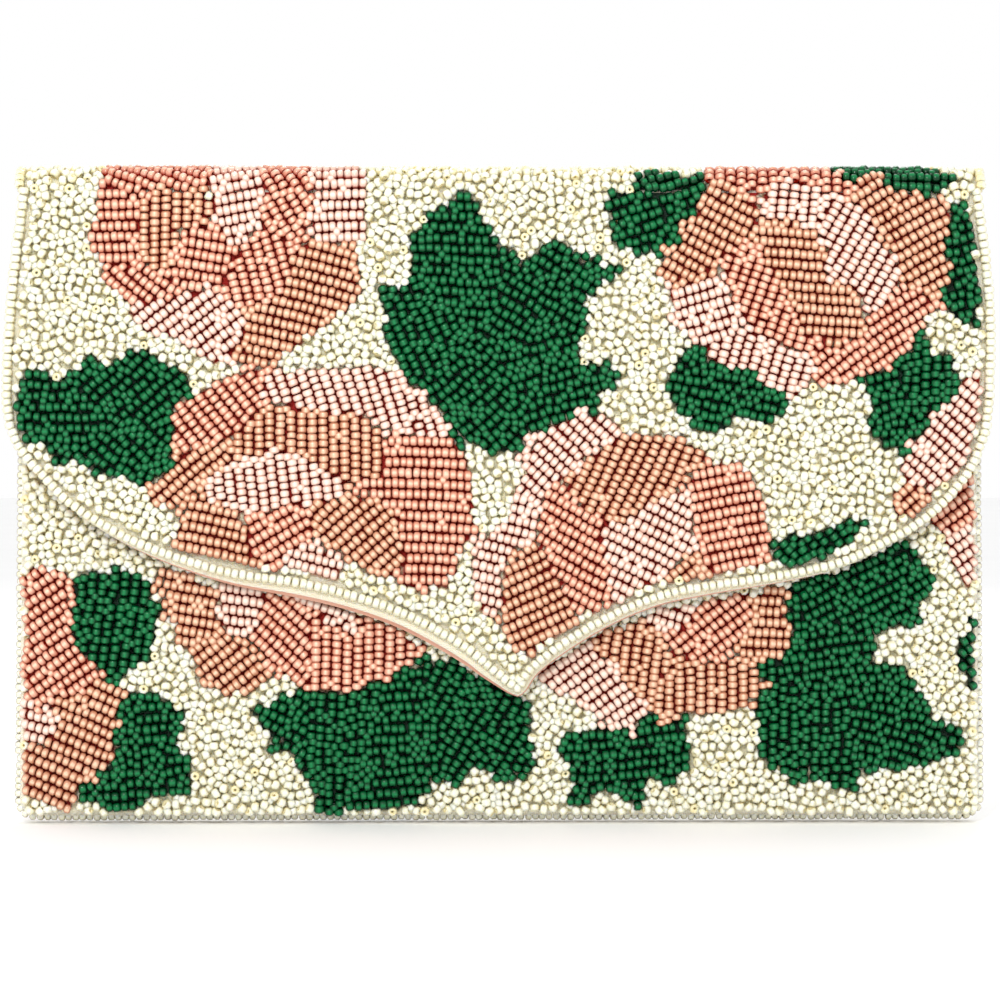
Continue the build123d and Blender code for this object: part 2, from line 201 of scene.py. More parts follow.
# ---------------------------------------------------------------- the flower pattern
# A patch is a colour, the directions of its rows of beads, and its outline, in millimetres. A direction is an
# angle in degrees and the place where it holds, and each bead takes the nearest. Later patches lie over
# earlier ones.
FLAP_PATCHES = [
    ("coral", [(0, -93, 145), (-25, -84, 159)],
     [(-95, 161), (-97.5, 155), (-98, 150), (-100, 146), (-101, 141), (-97, 136.5), (-88, 134.5), (-88, 150),
      (-84, 155), (-71, 156), (-71, 161)]),
    ("tan", [(85, 0, 0)],
     [(-88, 150), (-84, 155), (-72, 155), (-70, 150), (-72, 146), (-79, 146), (-80, 136), (-85, 136),
      (-88, 140)]),
    ("blush", [(8, 0, 0)],
     [(-71, 161), (-59, 161), (-57.5, 156), (-58, 151), (-61, 145), (-61, 142.5), (-64, 140.5), (-66.5, 142),
      (-68, 145), (-71, 150)]),
    ("coral", [(-12, 0, 0)],
     [(-75.5, 147), (-71, 146.5), (-68, 145), (-66.5, 142), (-64, 140), (-66, 132.5), (-70, 131), (-78, 131),
      (-79.5, 135), (-79.5, 141)]),
    ("coral", [(-75, -58, 135), (-60, -52, 153)],
     [(-59, 161), (-47.5, 161), (-46, 152), (-47, 145), (-49, 141), (-53, 131), (-56, 127), (-60, 124.5),
      (-64, 126),
      (-68, 130), (-65, 138), (-60, 144), (-58, 150)]),
    ("blush", [(0, 0, 0)],
     [(-47.5, 161), (-34.5, 161), (-33, 152), (-33.5, 142.5), (-38, 142), (-45, 143), (-46.5, 147),
      (-46, 154)]),
    ("tan", [(-15, 0, 0)],
     [(-46, 143), (-37, 141), (-35, 134), (-34.5, 129), (-37, 125), (-41, 123), (-46, 120), (-50, 116),
      (-54, 113.5),
      (-60, 112), (-66, 113), (-61.5, 119.5), (-62.5, 123.5), (-59, 127), (-54, 129), (-52, 134),
      (-50, 140)]),
    ("coral", [(-40, 0, 0)], [(-97, 136), (-80, 136), (-79, 131), (-83, 128), (-90, 126.5), (-95, 131)]),
    ("blush", [(38, 0, 0)],
     [(-91, 126.5), (-83, 128.5), (-76, 130.5), (-69, 130.5), (-64, 126), (-62, 122), (-62, 118), (-65, 114),
      (-70, 112.8), (-74, 115), (-78, 119), (-86, 119.5), (-89.5, 122)]),
    ("coral", [(-50, 0, 0)],
     [(-66, 108.5), (-61, 111), (-57, 111), (-57, 106), (-60, 100), (-62, 97), (-66, 94.5), (-72, 93),
      (-78, 91.5),
      (-80, 94), (-81.5, 97), (-79.5, 100.5), (-77, 104), (-72, 106.5)]),
    ("blush", [(-72, 0, 0)],
     [(-57, 110.5), (-50, 111), (-40, 110.5), (-32, 112), (-27, 110.5), (-24, 107.5), (-19, 104.5),
      (-16, 101),
      (-10, 95), (-20, 95), (-25, 95.5), (-29, 98), (-32, 100), (-42, 100.5), (-50, 102), (-59, 104)]),
    ("tan", [(88, 0, 0)],
     [(-60, 102), (-55, 103), (-50, 101.5), (-42, 100.5), (-34, 100), (-29, 95), (-28, 91), (-32, 84),
      (-37, 83),
      (-42, 84.5), (-46, 87), (-49, 90.5), (-54, 92), (-60, 90), (-66, 88), (-66, 94), (-62, 97)]),
    ("tan", [(38, 0, 0)],
     [(-66, 94), (-66, 88), (-72, 84), (-75, 81.5), (-78, 79), (-83, 77), (-87, 78.5), (-84, 83), (-81, 88),
      (-78, 91), (-72, 92.5)]),
    ("blush", [(-82, 0, 0)],
     [(-72, 85.5), (-66, 88.5), (-60, 90), (-54, 92), (-49, 91), (-45, 87.5), (-38, 83.5), (-37, 80.5),
      (-46, 78.5),
      (-56, 77.5), (-60, 75.5), (-66, 78.5), (-70, 79), (-73, 82)]),
    ("tan", [(-13, 0, 0)],
     [(-76, 79.5), (-72, 81), (-68, 78), (-64, 76.5), (-61, 68), (-56, 62.5), (-62, 63.5), (-70, 65.5),
      (-78, 67.5),
      (-80.5, 69), (-77, 76)]),
    ("coral", [(30, 0, 0)],
     [(-62, 76), (-58, 76), (-54, 78), (-48, 78.5), (-45, 76), (-45, 72), (-50, 66.5), (-56, 62.5), (-60, 65),
      (-62, 70)]),
    ("blush", [(-12, 0, 0)],
     [(-51, 67.5), (-46, 68), (-40, 66), (-38.5, 63), (-40, 60), (-45, 60), (-55, 62), (-53, 64.5)]),
    ("tan", [(40, 0, 0)],
     [(-47, 79), (-40, 78.5), (-34, 80), (-29, 78.5), (-25.5, 76), (-24, 71), (-24, 66), (-25, 62),
      (-28, 59.5),
      (-35, 63.5), (-39, 66.5), (-46, 71)]),
    ("coral", [(-3, 0, 0)],
     [(-27, 95.5), (-20, 95), (-12, 94), (-9, 92), (-8, 87), (-6.5, 77), (-6, 72), (-8.5, 69), (-10.5, 66),
      (-11, 61), (-13, 58), (-18, 57), (-25, 58), (-24, 67), (-24.5, 72), (-26, 76.5), (-30, 79), (-36, 83.5),
      (-32, 84.5), (-29.5, 88), (-29, 92)]),
    ("blush", [(-45, 17, 94), (-15, 0, 62)],
     [(10, 96), (15, 98.5), (20, 100), (25, 99.5), (29, 97), (30, 94), (22, 92), (20, 89), (14, 83.5),
      (9, 78),
      (8, 71), (3, 66.5), (0, 63), (0, 57), (-1, 50.5), (-4, 50), (-5.5, 54), (-7, 62), (-5.5, 67),
      (-3, 70.5),
      (1, 73), (2.5, 77), (4.5, 81), (5, 86), (6.5, 90), (8.5, 93)]),
    ("tan", [(65, 0, 0)],
     [(30, 95), (36, 95), (44, 94), (50, 91), (50, 88), (46, 86), (44.5, 83), (38, 79), (30, 75.5),
      (25, 74.5),
      (21, 76.5), (15, 84), (20, 88), (26, 93.5)]),
    ("coral", [(-27, 0, 0)],
     [(14, 84), (17, 81.5), (20, 77), (25, 75), (26, 70), (26.5, 58), (23, 51.5), (17, 53), (15.5, 56),
      (12, 64),
      (9.5, 69), (9.5, 74), (11, 80)]),
    ("blush", [(-27, 0, 0)],
     [(40.5, 81.5), (45, 81), (46.5, 77), (46.5, 72.5), (48, 68), (42, 64), (40.5, 61), (36, 58), (31, 55),
      (26.5, 53.5), (26.5, 64), (22.5, 73), (31, 75.5), (39, 79.5)]),
    ("coral", [(12, 0, 0)],
     [(52, 89), (56, 89), (59.5, 87), (63, 80), (64, 75), (65.5, 66), (64, 63), (60, 60.5), (52, 60.5),
      (48.5, 67),
      (46.5, 78), (45.5, 84), (49, 87)]),
    ("tan", [(35, 0, 0)],
     [(40, 61), (44, 63.5), (48, 66), (51, 64), (52, 61), (48, 59.5), (43, 58.5), (40, 58.5)]),
    ("tan", [(28, 0, 0)],
     [(1, 62), (4, 65), (8, 69), (10, 67.5), (12, 63), (16, 54.5), (19, 50), (17, 47), (10, 43), (7, 41),
      (4, 41.5),
      (2, 44), (0, 54)]),
    ("coral", [(90, 0, 0)],
     [(50, 161), (79, 161), (83, 158.5), (85.5, 156.5), (84, 152.5), (80, 153.5), (77, 157), (64, 156.5),
      (62, 152),
      (58, 155), (50.5, 157.5)]),
    ("blush", [(85, 68, 152), (62, 88, 143)],
     [(66, 156.5), (70, 157.5), (76, 157), (78, 154.5), (84, 153), (87, 150.5), (90, 147.5), (93.5, 141),
      (98, 136),
      (97, 132), (91, 126), (87, 130), (83, 132), (78.5, 137.5), (80, 141), (78, 143.5), (74, 146.5),
      (64, 148.5),
      (63, 152)]),
    ("tan", [(-28, 0, 0)],
     [(50.5, 157), (56, 156.5), (62, 152), (63.5, 149), (60, 143), (57, 140.5), (52, 135.5), (44, 132),
      (40.5, 132.5), (38.5, 135), (43, 141), (46.5, 147), (48.5, 154.5)]),
    ("tan", [(-2, 0, 0)],
     [(62, 147.5), (68, 148), (74, 146.5), (77, 143.5), (79, 140), (79, 136), (82, 133), (86, 130.5),
      (88, 127),
      (88.5, 122.5), (87, 118.5), (82, 117.5), (77, 118.5), (74, 121.5), (69, 130), (64.5, 138), (61, 145)]),
    ("coral", [(72, 0, 0)],
     [(57, 141), (61, 143.5), (64, 139), (69, 130.5), (74, 121.5), (77, 118.5), (75, 115), (69, 117.5),
      (63, 120),
      (60, 122), (56, 130.5), (53.5, 137.5)]),
    ("tan", [(30, 0, 0)],
     [(85, 155), (89, 158), (92, 158.5), (95, 157), (98, 154.5), (102, 154), (106, 152.5), (110, 149.5),
      (109, 142),
      (108, 139), (110, 136.5), (110, 132), (108, 129.5), (99, 131.5), (96.5, 139), (92, 145), (87, 151)]),
    ("coral", [(35, 0, 0)],
     [(91, 126), (98, 132), (104, 130), (106.5, 127), (102, 121), (101, 118), (98, 114.5), (88, 109.5),
      (79, 107),
      (76, 109), (75, 115.5), (77, 118), (82, 117), (87, 118), (89, 122.5)]),
    ("blush", [(20, 0, 0)],
     [(40.5, 132), (45, 132.5), (50, 135), (53, 134.5), (57, 127), (59, 122.5), (56, 118.5), (49, 116),
      (44.5, 121.5), (41.5, 123), (41.5, 129)]),
    ("blush", [(75, 0, 0)],
     [(51, 117.5), (60, 121), (65, 119.5), (69, 117), (76, 113.5), (76, 109.5), (72, 104.5), (68, 105),
      (61.5, 110),
      (52, 113), (49.5, 115.5)]),
    ("blush", [(-42, 0, 0)],
     [(118, 112.5), (119, 110), (119, 106), (117.5, 97), (116, 93), (111, 86), (106, 81.5), (99, 85.5),
      (97.5, 88),
      (102, 94), (109, 103), (115, 110.5)]),
    ("tan", [(40, 0, 0)], [(96, 82.5), (99, 85), (102, 83.5), (105.5, 80.5), (100, 75.5), (97.5, 74.5),
      (96, 78)]),
    ("green", [(40, -95, 107), (0, -100, 99.5), (-40, -95, 92)],
     [(-119, 103.5), (-118.5, 99), (-115, 93), (-111, 92), (-107.5, 87.5), (-104, 90), (-100, 89.5),
      (-99.5, 83.5),
      (-96.5, 85.5), (-92, 86), (-90, 83), (-87, 82), (-82, 87), (-78.5, 93), (-81, 98.5), (-78, 104.5),
      (-75, 106), (-78, 112), (-83, 113), (-85, 116), (-91, 116.5), (-90.5, 113), (-98, 113), (-100.5, 116),
      (-100, 112), (-106, 109.5), (-115, 110.5), (-118, 105.5)]),
    ("green", [(0, -10, 140), (-65, -25, 122), (-30, 12, 132), (15, 15, 108), (40, -8, 100)],
     [(-9, 154.5), (-12, 152), (-16, 149.5), (-20, 148.5), (-19.5, 146), (-21.5, 143.5), (-22, 138),
      (-24, 132.5),
      (-29.5, 131), (-30.5, 129), (-28.5, 123), (-26, 116), (-22.5, 109.5), (-16, 102.5), (-10, 96), (-3, 91),
      (4, 91), (5, 94), (11, 98.5), (19, 100), (26, 105), (30, 110), (28.5, 112.5), (20.5, 113.5),
      (18.5, 117),
      (22.5, 124.5), (21.5, 127), (23.5, 129.5), (27.5, 133), (29.5, 136.5), (26, 136.5), (23.5, 139),
      (20.5, 137), (15, 142.5), (12, 141.5), (6, 138), (4.5, 135.5), (2.5, 141), (0, 140), (-3.5, 147),
      (-6, 152)]),
    ("green", [(20, 0, 0)],
     [(24, 151.5), (27.5, 155.5), (31, 155), (32, 158.5), (37.5, 160), (49, 158.5), (51, 156.5), (47.5, 149),
      (43, 141.5), (32.5, 139.5), (29, 140.5), (27.5, 144), (29.5, 147), (26, 149.5)]),
    ("green", [(-10, 0, 0)],
     [(40, 106.5), (42, 112.5), (44.5, 116.5), (48, 116.5), (50, 113), (60, 111), (64.5, 106), (68, 104.5),
      (69, 100.5), (63.5, 96.5), (61, 99), (57, 100.5), (55.5, 96.5), (48, 96), (46, 99.5), (41, 103.5)]),
    ("green", [(0, 0, 0)],
     [(80, 160), (84, 160.5), (100, 160.5), (110, 159), (112, 157.5), (106, 155), (101, 153.5), (97.5, 154.5),
      (92, 158.8), (85.5, 156.8)]),
    ("green", [(15, 0, 0)],
     [(110, 151), (114, 151.5), (117, 150.5), (119.5, 147), (120, 133), (118.5, 123), (115.5, 122),
      (111, 122.5),
      (107.5, 129), (110, 136.5), (107.5, 141.5), (109.5, 144.5)]),
    ("green", [(88, 105, 110), (20, 93, 107), (0, 98, 94)],
     [(103.5, 118), (105.5, 115), (109, 115.5), (112, 113), (110.5, 107), (106.5, 100), (101, 93), (95, 91.5),
      (91, 94.5), (88, 98.5), (91, 100), (91.5, 103), (88.5, 106.5), (90.5, 108), (88.5, 110), (95, 111.5),
      (101.5, 115.5)]),
    ("green", [(-50, 0, 0)],
     [(65.5, 64.5), (72, 63), (76.5, 64), (84, 66.5), (87.5, 70), (89, 74), (86, 74.8), (78, 72), (70, 71),
      (67.5, 68)]),
]
PANEL_PATCHES = [
    ("coral", [(35, 0, 0)],
     [(-116.5, 62.5), (-113, 63.5), (-109, 62), (-106.5, 59), (-105.5, 49), (-104.5, 44.5), (-99.5, 38.5),
      (-99, 35.5), (-104, 31.5), (-111.5, 29), (-117.5, 30), (-117.5, 45)]),
    ("blush", [(-10, 0, 0)], [(-117.5, 29.5), (-112, 29), (-109.5, 26.5), (-110, 22), (-112, 19),
      (-117.5, 19.5)]),
    ("tan", [(-22, 0, 0)],
     [(-99, 35.5), (-91.5, 32), (-94.5, 26), (-94, 20.5), (-96.5, 13.5), (-103, 9.5), (-106, 3.5), (-110, 3),
      (-117.5, 6.5), (-117.5, 19), (-112, 18.5), (-109, 26.5), (-112, 29.5), (-103, 32.5)]),
    ("green", [(85, 0, 0)],
     [(-105.5, 58.5), (-102.5, 60.5), (-96.5, 62), (-95, 64), (-93, 61.5), (-88.5, 61.5), (-85.5, 57),
      (-87, 54.5), (-82.5, 49), (-84, 46), (-85.5, 41), (-88, 38.5), (-94, 35), (-97, 34.5), (-100.5, 40.5),
      (-103.5, 41.5), (-105, 45)]),
    ("green", [(5, 0, 0)],
     [(-93.5, 31), (-90, 32), (-85, 32), (-81.5, 29), (-77.5, 28), (-77, 26), (-79.5, 21), (-76, 15),
      (-76.5, 8),
      (-80, 6.5), (-84, 7.5), (-88, 5.5), (-91, 1), (-95, 2.5), (-102, 5), (-104, 7.5), (-99, 11.5),
      (-94.5, 16), (-94, 20), (-95.5, 23.5), (-92.5, 25.5)]),
    ("tan", [(-12, -76, 54), (35, -67, 37)],
     [(-83.5, 62), (-76, 60.5), (-69, 57), (-69.5, 52), (-69, 47), (-62, 42.5), (-56.5, 37), (-60, 33),
      (-66, 30.5), (-73, 34.5), (-75.5, 42), (-79.5, 44), (-80.5, 54)]),
    ("coral", [(-45, -56, 45), (90, -38, 42)],
     [(-58, 57), (-52, 56.5), (-45, 54.5), (-38, 52), (-30, 49), (-17, 42.5), (-22, 40), (-28, 36), (-35, 33),
      (-41, 31.5), (-50, 34), (-57, 38), (-61, 46), (-60, 51)]),
    ("blush", [(-12, 0, 0)],
     [(-69.5, 58.5), (-58, 56.5), (-57.5, 53), (-61, 47), (-62.5, 44.5), (-68.5, 48.5)]),
    ("blush", [(-20, 0, 0)],
     [(-49, 56.5), (-42, 54), (-37, 51), (-34, 48), (-35.5, 45), (-43, 49), (-48, 52.5)]),
    ("green", [(-30, -55, 24), (88, -40, 22), (0, -27, 18), (60, -4, 24)],
     [(-62.5, 27.5), (-58.5, 28.5), (-53, 31), (-49, 33.5), (-43, 32.5), (-39, 31.5), (-34, 33), (-26, 36),
      (-17, 39), (-12, 40), (-4, 36), (3.5, 33), (5.5, 30), (8.5, 27.5), (6.5, 26), (6.5, 20.5), (8.5, 19),
      (8.5, 16.5), (9.5, 13.5), (5, 11), (2.5, 12.5), (-0.5, 10.5), (-6, 14.5), (-8.5, 12.5), (-10.5, 9),
      (-16.5, 11.5), (-18.5, 4), (-24.5, 3), (-34, 2), (-45.5, 3), (-43, 10), (-49, 11.5), (-50, 17),
      (-57.5, 18), (-54, 20), (-59, 22), (-59, 25)]),
    ("blush", [(33, 0, 0)],
     [(8, 37), (12, 40), (17, 43), (21, 45), (24, 42), (28, 36), (34, 30.5), (36.5, 29), (33.5, 24), (31, 23),
      (24, 26), (18, 30.5), (10.5, 34)]),
    ("tan", [(78, 30, 42), (90, 52, 33)],
     [(22, 45), (27, 47.5), (32, 49.5), (36, 50), (40, 43), (47, 38.5), (58, 40), (63, 37), (64, 32.5),
      (58, 27.5), (46, 27), (41, 25), (38, 27.5), (28, 36.5), (24, 42.5)]),
    ("coral", [(38, 0, 0)],
     [(38, 47), (42, 46.5), (48, 51.5), (50, 54), (60, 56.5), (62.5, 50), (58, 42.5), (48, 39.5),
      (43.5, 40.5),
      (40, 43.5)]),
    ("blush", [(-20, 0, 0)],
     [(35, 51), (40, 53), (46, 53.5), (48, 51), (46, 48), (43.5, 46.5), (37, 48.5)]),
    ("tan", [(0, 0, 0)],
     [(60, 56.5), (69.5, 58), (69.5, 52), (71.5, 46), (71.5, 43), (69, 39.5), (60, 40.5), (58, 42.5),
      (62.5, 50)]),
    ("green", [(5, 0, 0)],
     [(37, 26.5), (44.5, 25.5), (46, 22), (45.5, 19.5), (47, 17.5), (45.5, 12.5), (42, 9), (37, 11.5),
      (34, 4),
      (31, 5), (24, 9), (21, 4), (19, 4), (16.5, 6), (18.5, 12), (13.5, 17), (15, 20), (19.5, 23.5),
      (29, 23.5), (32, 21.5)]),
    ("green", [(90, 76, 22), (5, 85, 38), (-15, 98, 24), (25, 90, 56)],
     [(69.5, 58.5), (78, 60.5), (86, 63.5), (93, 67), (97.5, 69), (101.5, 68), (105.5, 62), (107.5, 57.5),
      (102, 51.5), (105, 48.5), (97, 48), (88, 46), (95, 42), (91, 40), (98.5, 38.5), (104.5, 35),
      (102.5, 33), (104, 31.5), (102.5, 29.5), (106.5, 27), (106, 24.5), (113, 22.5), (113.5, 16),
      (106, 14.5), (98, 12.5), (88, 14.5), (88.5, 8), (85.5, 7.5), (77.5, 10), (76.5, 13.5), (73.5, 12.5),
      (72.5, 8.5), (66, 14), (63, 19.5), (62, 29), (65.5, 33), (63.5, 38.5), (69.5, 41.5), (72, 43),
      (71.5, 47)]),
    ("coral", [(35, 0, 0)], [(117, 86), (113.5, 83.5), (110, 80), (105, 74), (108, 71), (112, 71.5),
      (118, 74)]),
    ("blush", [(35, 0, 0)],
     [(108, 71), (112.5, 63), (117, 55), (118.5, 55.5), (118.5, 74), (112, 71.5)]),
    ("green", [(30, 0, 0)],
     [(117.5, 54), (119, 50), (119, 38), (119.5, 34), (114.5, 30.5), (115, 37), (112, 39), (113.5, 45),
      (115.5, 47), (115, 50.5)]),
]

# ---------------------------------------------------------------- where beads go

SPINE_MIDDLE = (S_SPINE + S_BACK) / 2
TOP_CUT = 160.4
ROW_PITCH = 2.6
ROW_SHIFT = 0.6
ROW_BEND = (0.3, 0.9)
ROW_PHASES = 6.3
ROW_WAVE = 11
SLANT_SPREAD = 0.06
HIDDEN_ABOVE = 88
PITCH = {"coral": 1.78, "tan": 1.78, "blush": 1.78, "green": 1.98}
JITTER = {"coral": 0.06, "tan": 0.06, "blush": 0.06, "green": 0.17}
KINDS = ["ivory", "blush", "coral", "tan", "green", "seam"]
KIND_NUMBER = {kind: number for number, kind in enumerate(KINDS)}
FIELD_INSET = 2.4
SIDE_INSET = 1.5
STRAND_INSET = 1.25
MOUTH_INSET = 1.3
SNAP_X, SNAP_Z = 4.0, 60.0
SNAP_CLEAR = 8.4
TOP_STRAND_HALF = TOP_HALF - STRAND_INSET

# The line of the strand of beads round the flap, from each top corner down to the point
FLAP_LEFT = [(-116.1, 154.6), (-119.2, 128), (-120.4, 105), (-118.9, 95.6), (-115.7, 90.2), (-110.8, 84.5),
             (-105.2, 79), (-94.6, 72), (-82.3, 66.5), (-66, 61.7), (-47.8, 58.9), (-34, 55.4), (-22, 50.9),
             (-9, 43.7), (-2.6, 38.5), (4.1, 33.3)]
FLAP_RIGHT = [(4.1, 33.3), (7.5, 38.4), (16.1, 44.9), (27, 51.2), (38.3, 55.7), (50.1, 58.2), (70, 61.2),
              (83.5, 64.3), (95.6, 70), (104.5, 75.6), (112.1, 83.3), (116.6, 91), (119.2, 101.7),
              (119.4, 128), (116.1, 154.6)]


def spline(points, step):
    """Evenly spaced points along a smooth curve through the given points."""
    p = np.array([points[0], *points, points[-1]], float)
    fine = []
    for a, b, c, d in zip(p[:-3], p[1:-2], p[2:-1], p[3:]):
        t = np.linspace(0, 1, 24, endpoint=False)[:, None]
        square = (2 * a - 5 * b + 4 * c - d) * t ** 2
        cube = (3 * b - a - 3 * c + d) * t ** 3
        fine.append(0.5 * (2 * b + (c - a) * t + square + cube))
    fine = np.concatenate([*fine, p[-1:]])
    return evenly(fine, step)


def evenly(points, step):
    """The same line, with points about a step apart."""
    run = np.concatenate([[0], np.cumsum(np.linalg.norm(np.diff(points, axis=0), axis=1))])
    at = np.linspace(0, run[-1], max(2, round(run[-1] / step) + 1))
    return np.stack([np.interp(at, run, points[:, k]) for k in range(points.shape[1])], 1)


def side_steps(line):
    """The direction to the left of a flat line at each of its points."""
    along = np.gradient(line, axis=0)
    along /= np.linalg.norm(along, axis=1, keepdims=True)
    return np.stack([-along[:, 1], along[:, 0]], 1)


def inside(points, outline):
    """Which points lie within a closed outline."""
    x, z = points[:, 0], points[:, 1]
    result = np.zeros(len(points), bool)
    corners = np.asarray(outline, float)
    for (x0, z0), (x1, z1) in zip(corners, np.roll(corners, -1, axis=0)):
        if z0 == z1:
            continue
        crosses = (z0 > z) != (z1 > z)
        result ^= crosses & (x < (x1 - x0) * (z - z0) / (z1 - z0) + x0)
    return result


EDGE_STEP = 0.8
FLAP_EDGE = np.concatenate([spline(FLAP_LEFT, EDGE_STEP), spline(FLAP_RIGHT, EDGE_STEP)[1:]])


def flap_outline(outward):
    """The flap's edge line moved outwards by a distance, or by one distance for each point."""
    return FLAP_EDGE - side_steps(FLAP_EDGE) * np.reshape(outward, (-1, 1)) * np.ones((len(FLAP_EDGE), 1))


def in_wrap(points):
    """Which places are on the bead field of the flap, the spine or the back."""
    x, s = points[:, 0], points[:, 1]
    flap_field = inside(points, flap_outline(-FIELD_INSET)) & (s <= S_FOLD)
    top_field = (s > S_FOLD) & (s <= S_DOWN) & (np.abs(x) < TOP_STRAND_HALF - FIELD_INSET)
    z = S_END - s
    back_field = (s > S_DOWN) & (z > STRAND_INSET + SIDE_INSET)
    back_field &= np.abs(x) < side_half(np.maximum(z, 0)) - STRAND_INSET - SIDE_INSET
    return flap_field | top_field | back_field


def in_panel(points):
    """Which places are on the front panel's bead field."""
    x, z = points[:, 0], points[:, 1]
    field = (z > STRAND_INSET + SIDE_INSET) & (z < MOUTH_Z - MOUTH_INSET)
    field &= np.abs(x) < side_half(np.maximum(z, 0)) - STRAND_INSET - SIDE_INSET
    return field & (np.hypot(x - SNAP_X, z - SNAP_Z) > SNAP_CLEAR)


def to_spine(patch):
    """A patch that reaches the top of the view runs on to the middle of the spine."""
    kind, directions, outline = patch
    return kind, directions, [(x, SPINE_MIDDLE if z > TOP_CUT else z) for x, z in outline]


def to_back(patch):
    """The same patch on the back of the purse."""
    kind, directions, outline = patch
    turned = [(-angle, x, S_END - z) for angle, x, z in directions]
    return kind, turned, [(x, SPINE_MIDDLE if z > TOP_CUT else S_END - z) for x, z in outline]


def mirrored(patch):
    """The same patch with left and right exchanged."""
    kind, directions, outline = patch
    return kind, [(-angle, -x, z) for angle, x, z in directions], [(-x, z) for x, z in outline]


def hidden_patches():
    """The guessed flowers on the front panel, under the flap."""
    return [mirrored(patch) for patch in FLAP_PATCHES if min(z for _, z in patch[2]) > HIDDEN_ABOVE]


WRAP = [to_spine(p) for p in FLAP_PATCHES] + [to_back(p) for p in PANEL_PATCHES + FLAP_PATCHES]
PANEL = hidden_patches() + PANEL_PATCHES


def patch_rows(patch):
    """Rows of beads over one patch: place, direction, size and kind."""
    kind, directions, outline = patch
    corners = np.array(outline, float)
    middle, pitch = corners.mean(0), PITCH[kind]
    reach = np.linalg.norm(corners - middle, axis=1).max() + ROW_PITCH
    seeds = np.array(directions, float)
    found = []
    for number, (angle, _, _) in enumerate(directions):
        turn = math.radians(angle)
        along = np.array([math.cos(turn), math.sin(turn)])
        across = np.array([-math.sin(turn), math.cos(turn)])
        rows = np.arange(-reach, reach, ROW_PITCH) + RNG.uniform(-ROW_SHIFT, ROW_SHIFT)
        bend, phase = RNG.uniform(*ROW_BEND), RNG.uniform(0, ROW_PHASES)
        for row in rows:
            u = np.arange(-reach, reach, pitch) + RNG.uniform(0, pitch)
            u = u + RNG.normal(0, JITTER[kind], len(u))
            wave = bend * np.sin(u / ROW_WAVE + phase) + RNG.normal(0, JITTER[kind], len(u))
            lean = bend / ROW_WAVE * np.cos(u / ROW_WAVE + phase)
            place = middle + u[:, None] * along + (row + wave)[:, None] * across
            near = np.linalg.norm(place[:, None] - seeds[None, :, 1:], axis=2).argmin(1)
            keep = (near == number) & inside(place, corners)
            slant = turn + lean + RNG.normal(0, SLANT_SPREAD, len(u))
            found.append(np.column_stack([place, slant])[keep])
    beads = np.concatenate(found)
    extra = np.full((len(beads), 1), KIND_NUMBER[kind])
    return np.hstack([beads, extra])


# How a bead lies. Ivory beads are thrown at random in rounds, each with a least spacing and a number of
# throws for each square millimetre; those that fit only close together are sunk between the others.
FLAT, STANDING, SUNK = 0.0, 1.0, 2.0
STANDING_SHARE = 0.05
SUNK_UNDER = 1.7
SPACINGS = ((2.15, 1.2), (1.95, 2.4), (1.78, 2.9), (1.5, 2.9))
ROSE_SPACING, LEAF_SPACING = 1.5, 1.66
NEIGHBOUR = 3.2
SURROUNDING = 3
LOPSIDED = 0.55


class Crowd:
    """Beads placed so far, in a grid of cells, so that new ones keep their distance."""

    def __init__(self):
        self.cells, self.beads = {}, []

    def key(self, x, s):
        """The cell that a place is in."""
        return math.floor(x / NEIGHBOUR), math.floor(s / NEIGHBOUR)

    def near(self, x, s):
        """The beads round a place, as distance and bead."""
        a, b = self.key(x, s)
        cells = [self.cells.get((i, j), ()) for i in (a - 1, a, a + 1) for j in (b - 1, b, b + 1)]
        return [(math.hypot(bead[0] - x, bead[1] - s), bead) for cell in cells for bead in cell]

    def offer(self, bead, least):
        """Adds a bead if no other is nearer than a distance."""
        found = self.near(bead[0], bead[1])
        if found and min(found)[0] < least:
            return
        self.add(bead)

    def add(self, bead):
        """Keeps a bead, whatever is near it."""
        self.cells.setdefault(self.key(bead[0], bead[1]), []).append(bead)
        self.beads.append(bead)

    def fill(self, x, s, least):
        """Adds an ivory bead, or one like its neighbours where coloured beads are all round it."""
        found = self.near(x, s)
        if found and min(found)[0] < least:
            return
        coloured = [(d, bead) for d, bead in found if d < NEIGHBOUR and bead[3] > 0]
        pull = sum(((bead[0] - x) / d + 1j * (bead[1] - s) / d) for d, bead in coloured)
        if len(coloured) >= SURROUNDING and abs(pull) < LOPSIDED * len(coloured):
            like = min(coloured)[1]
            self.add((x, s, like[2], like[3], FLAT))
            return
        lie = SUNK if least < SUNK_UNDER else STANDING if RNG.random() < STANDING_SHARE else FLAT
        self.add((x, s, RNG.uniform(0, math.pi), 0.0, lie))


def field_beads(patches, allowed, low, high):
    """All beads of one field: the patches' rows, then ivory beads sewn at random between them."""
    crowd = Crowd()
    for number, patch in enumerate(patches):
        beads = patch_rows(patch)
        beads = beads[allowed(beads)]
        for later in patches[number + 1:]:
            beads = beads[~inside(beads, later[2])]
        least = LEAF_SPACING if patch[0] == "green" else ROSE_SPACING
        for x, s, slant, kind in beads:
            crowd.offer((x, s, slant, kind, FLAT), least)
    area = (high[0] - low[0]) * (high[1] - low[1])
    for spacing, thickness in SPACINGS:
        places = RNG.uniform(low, high, (int(area * thickness), 2))
        for x, s in places[allowed(places)]:
            crowd.fill(x, s, spacing)
    return np.array(crowd.beads)


# ---------------------------------------------------------------- bead meshes

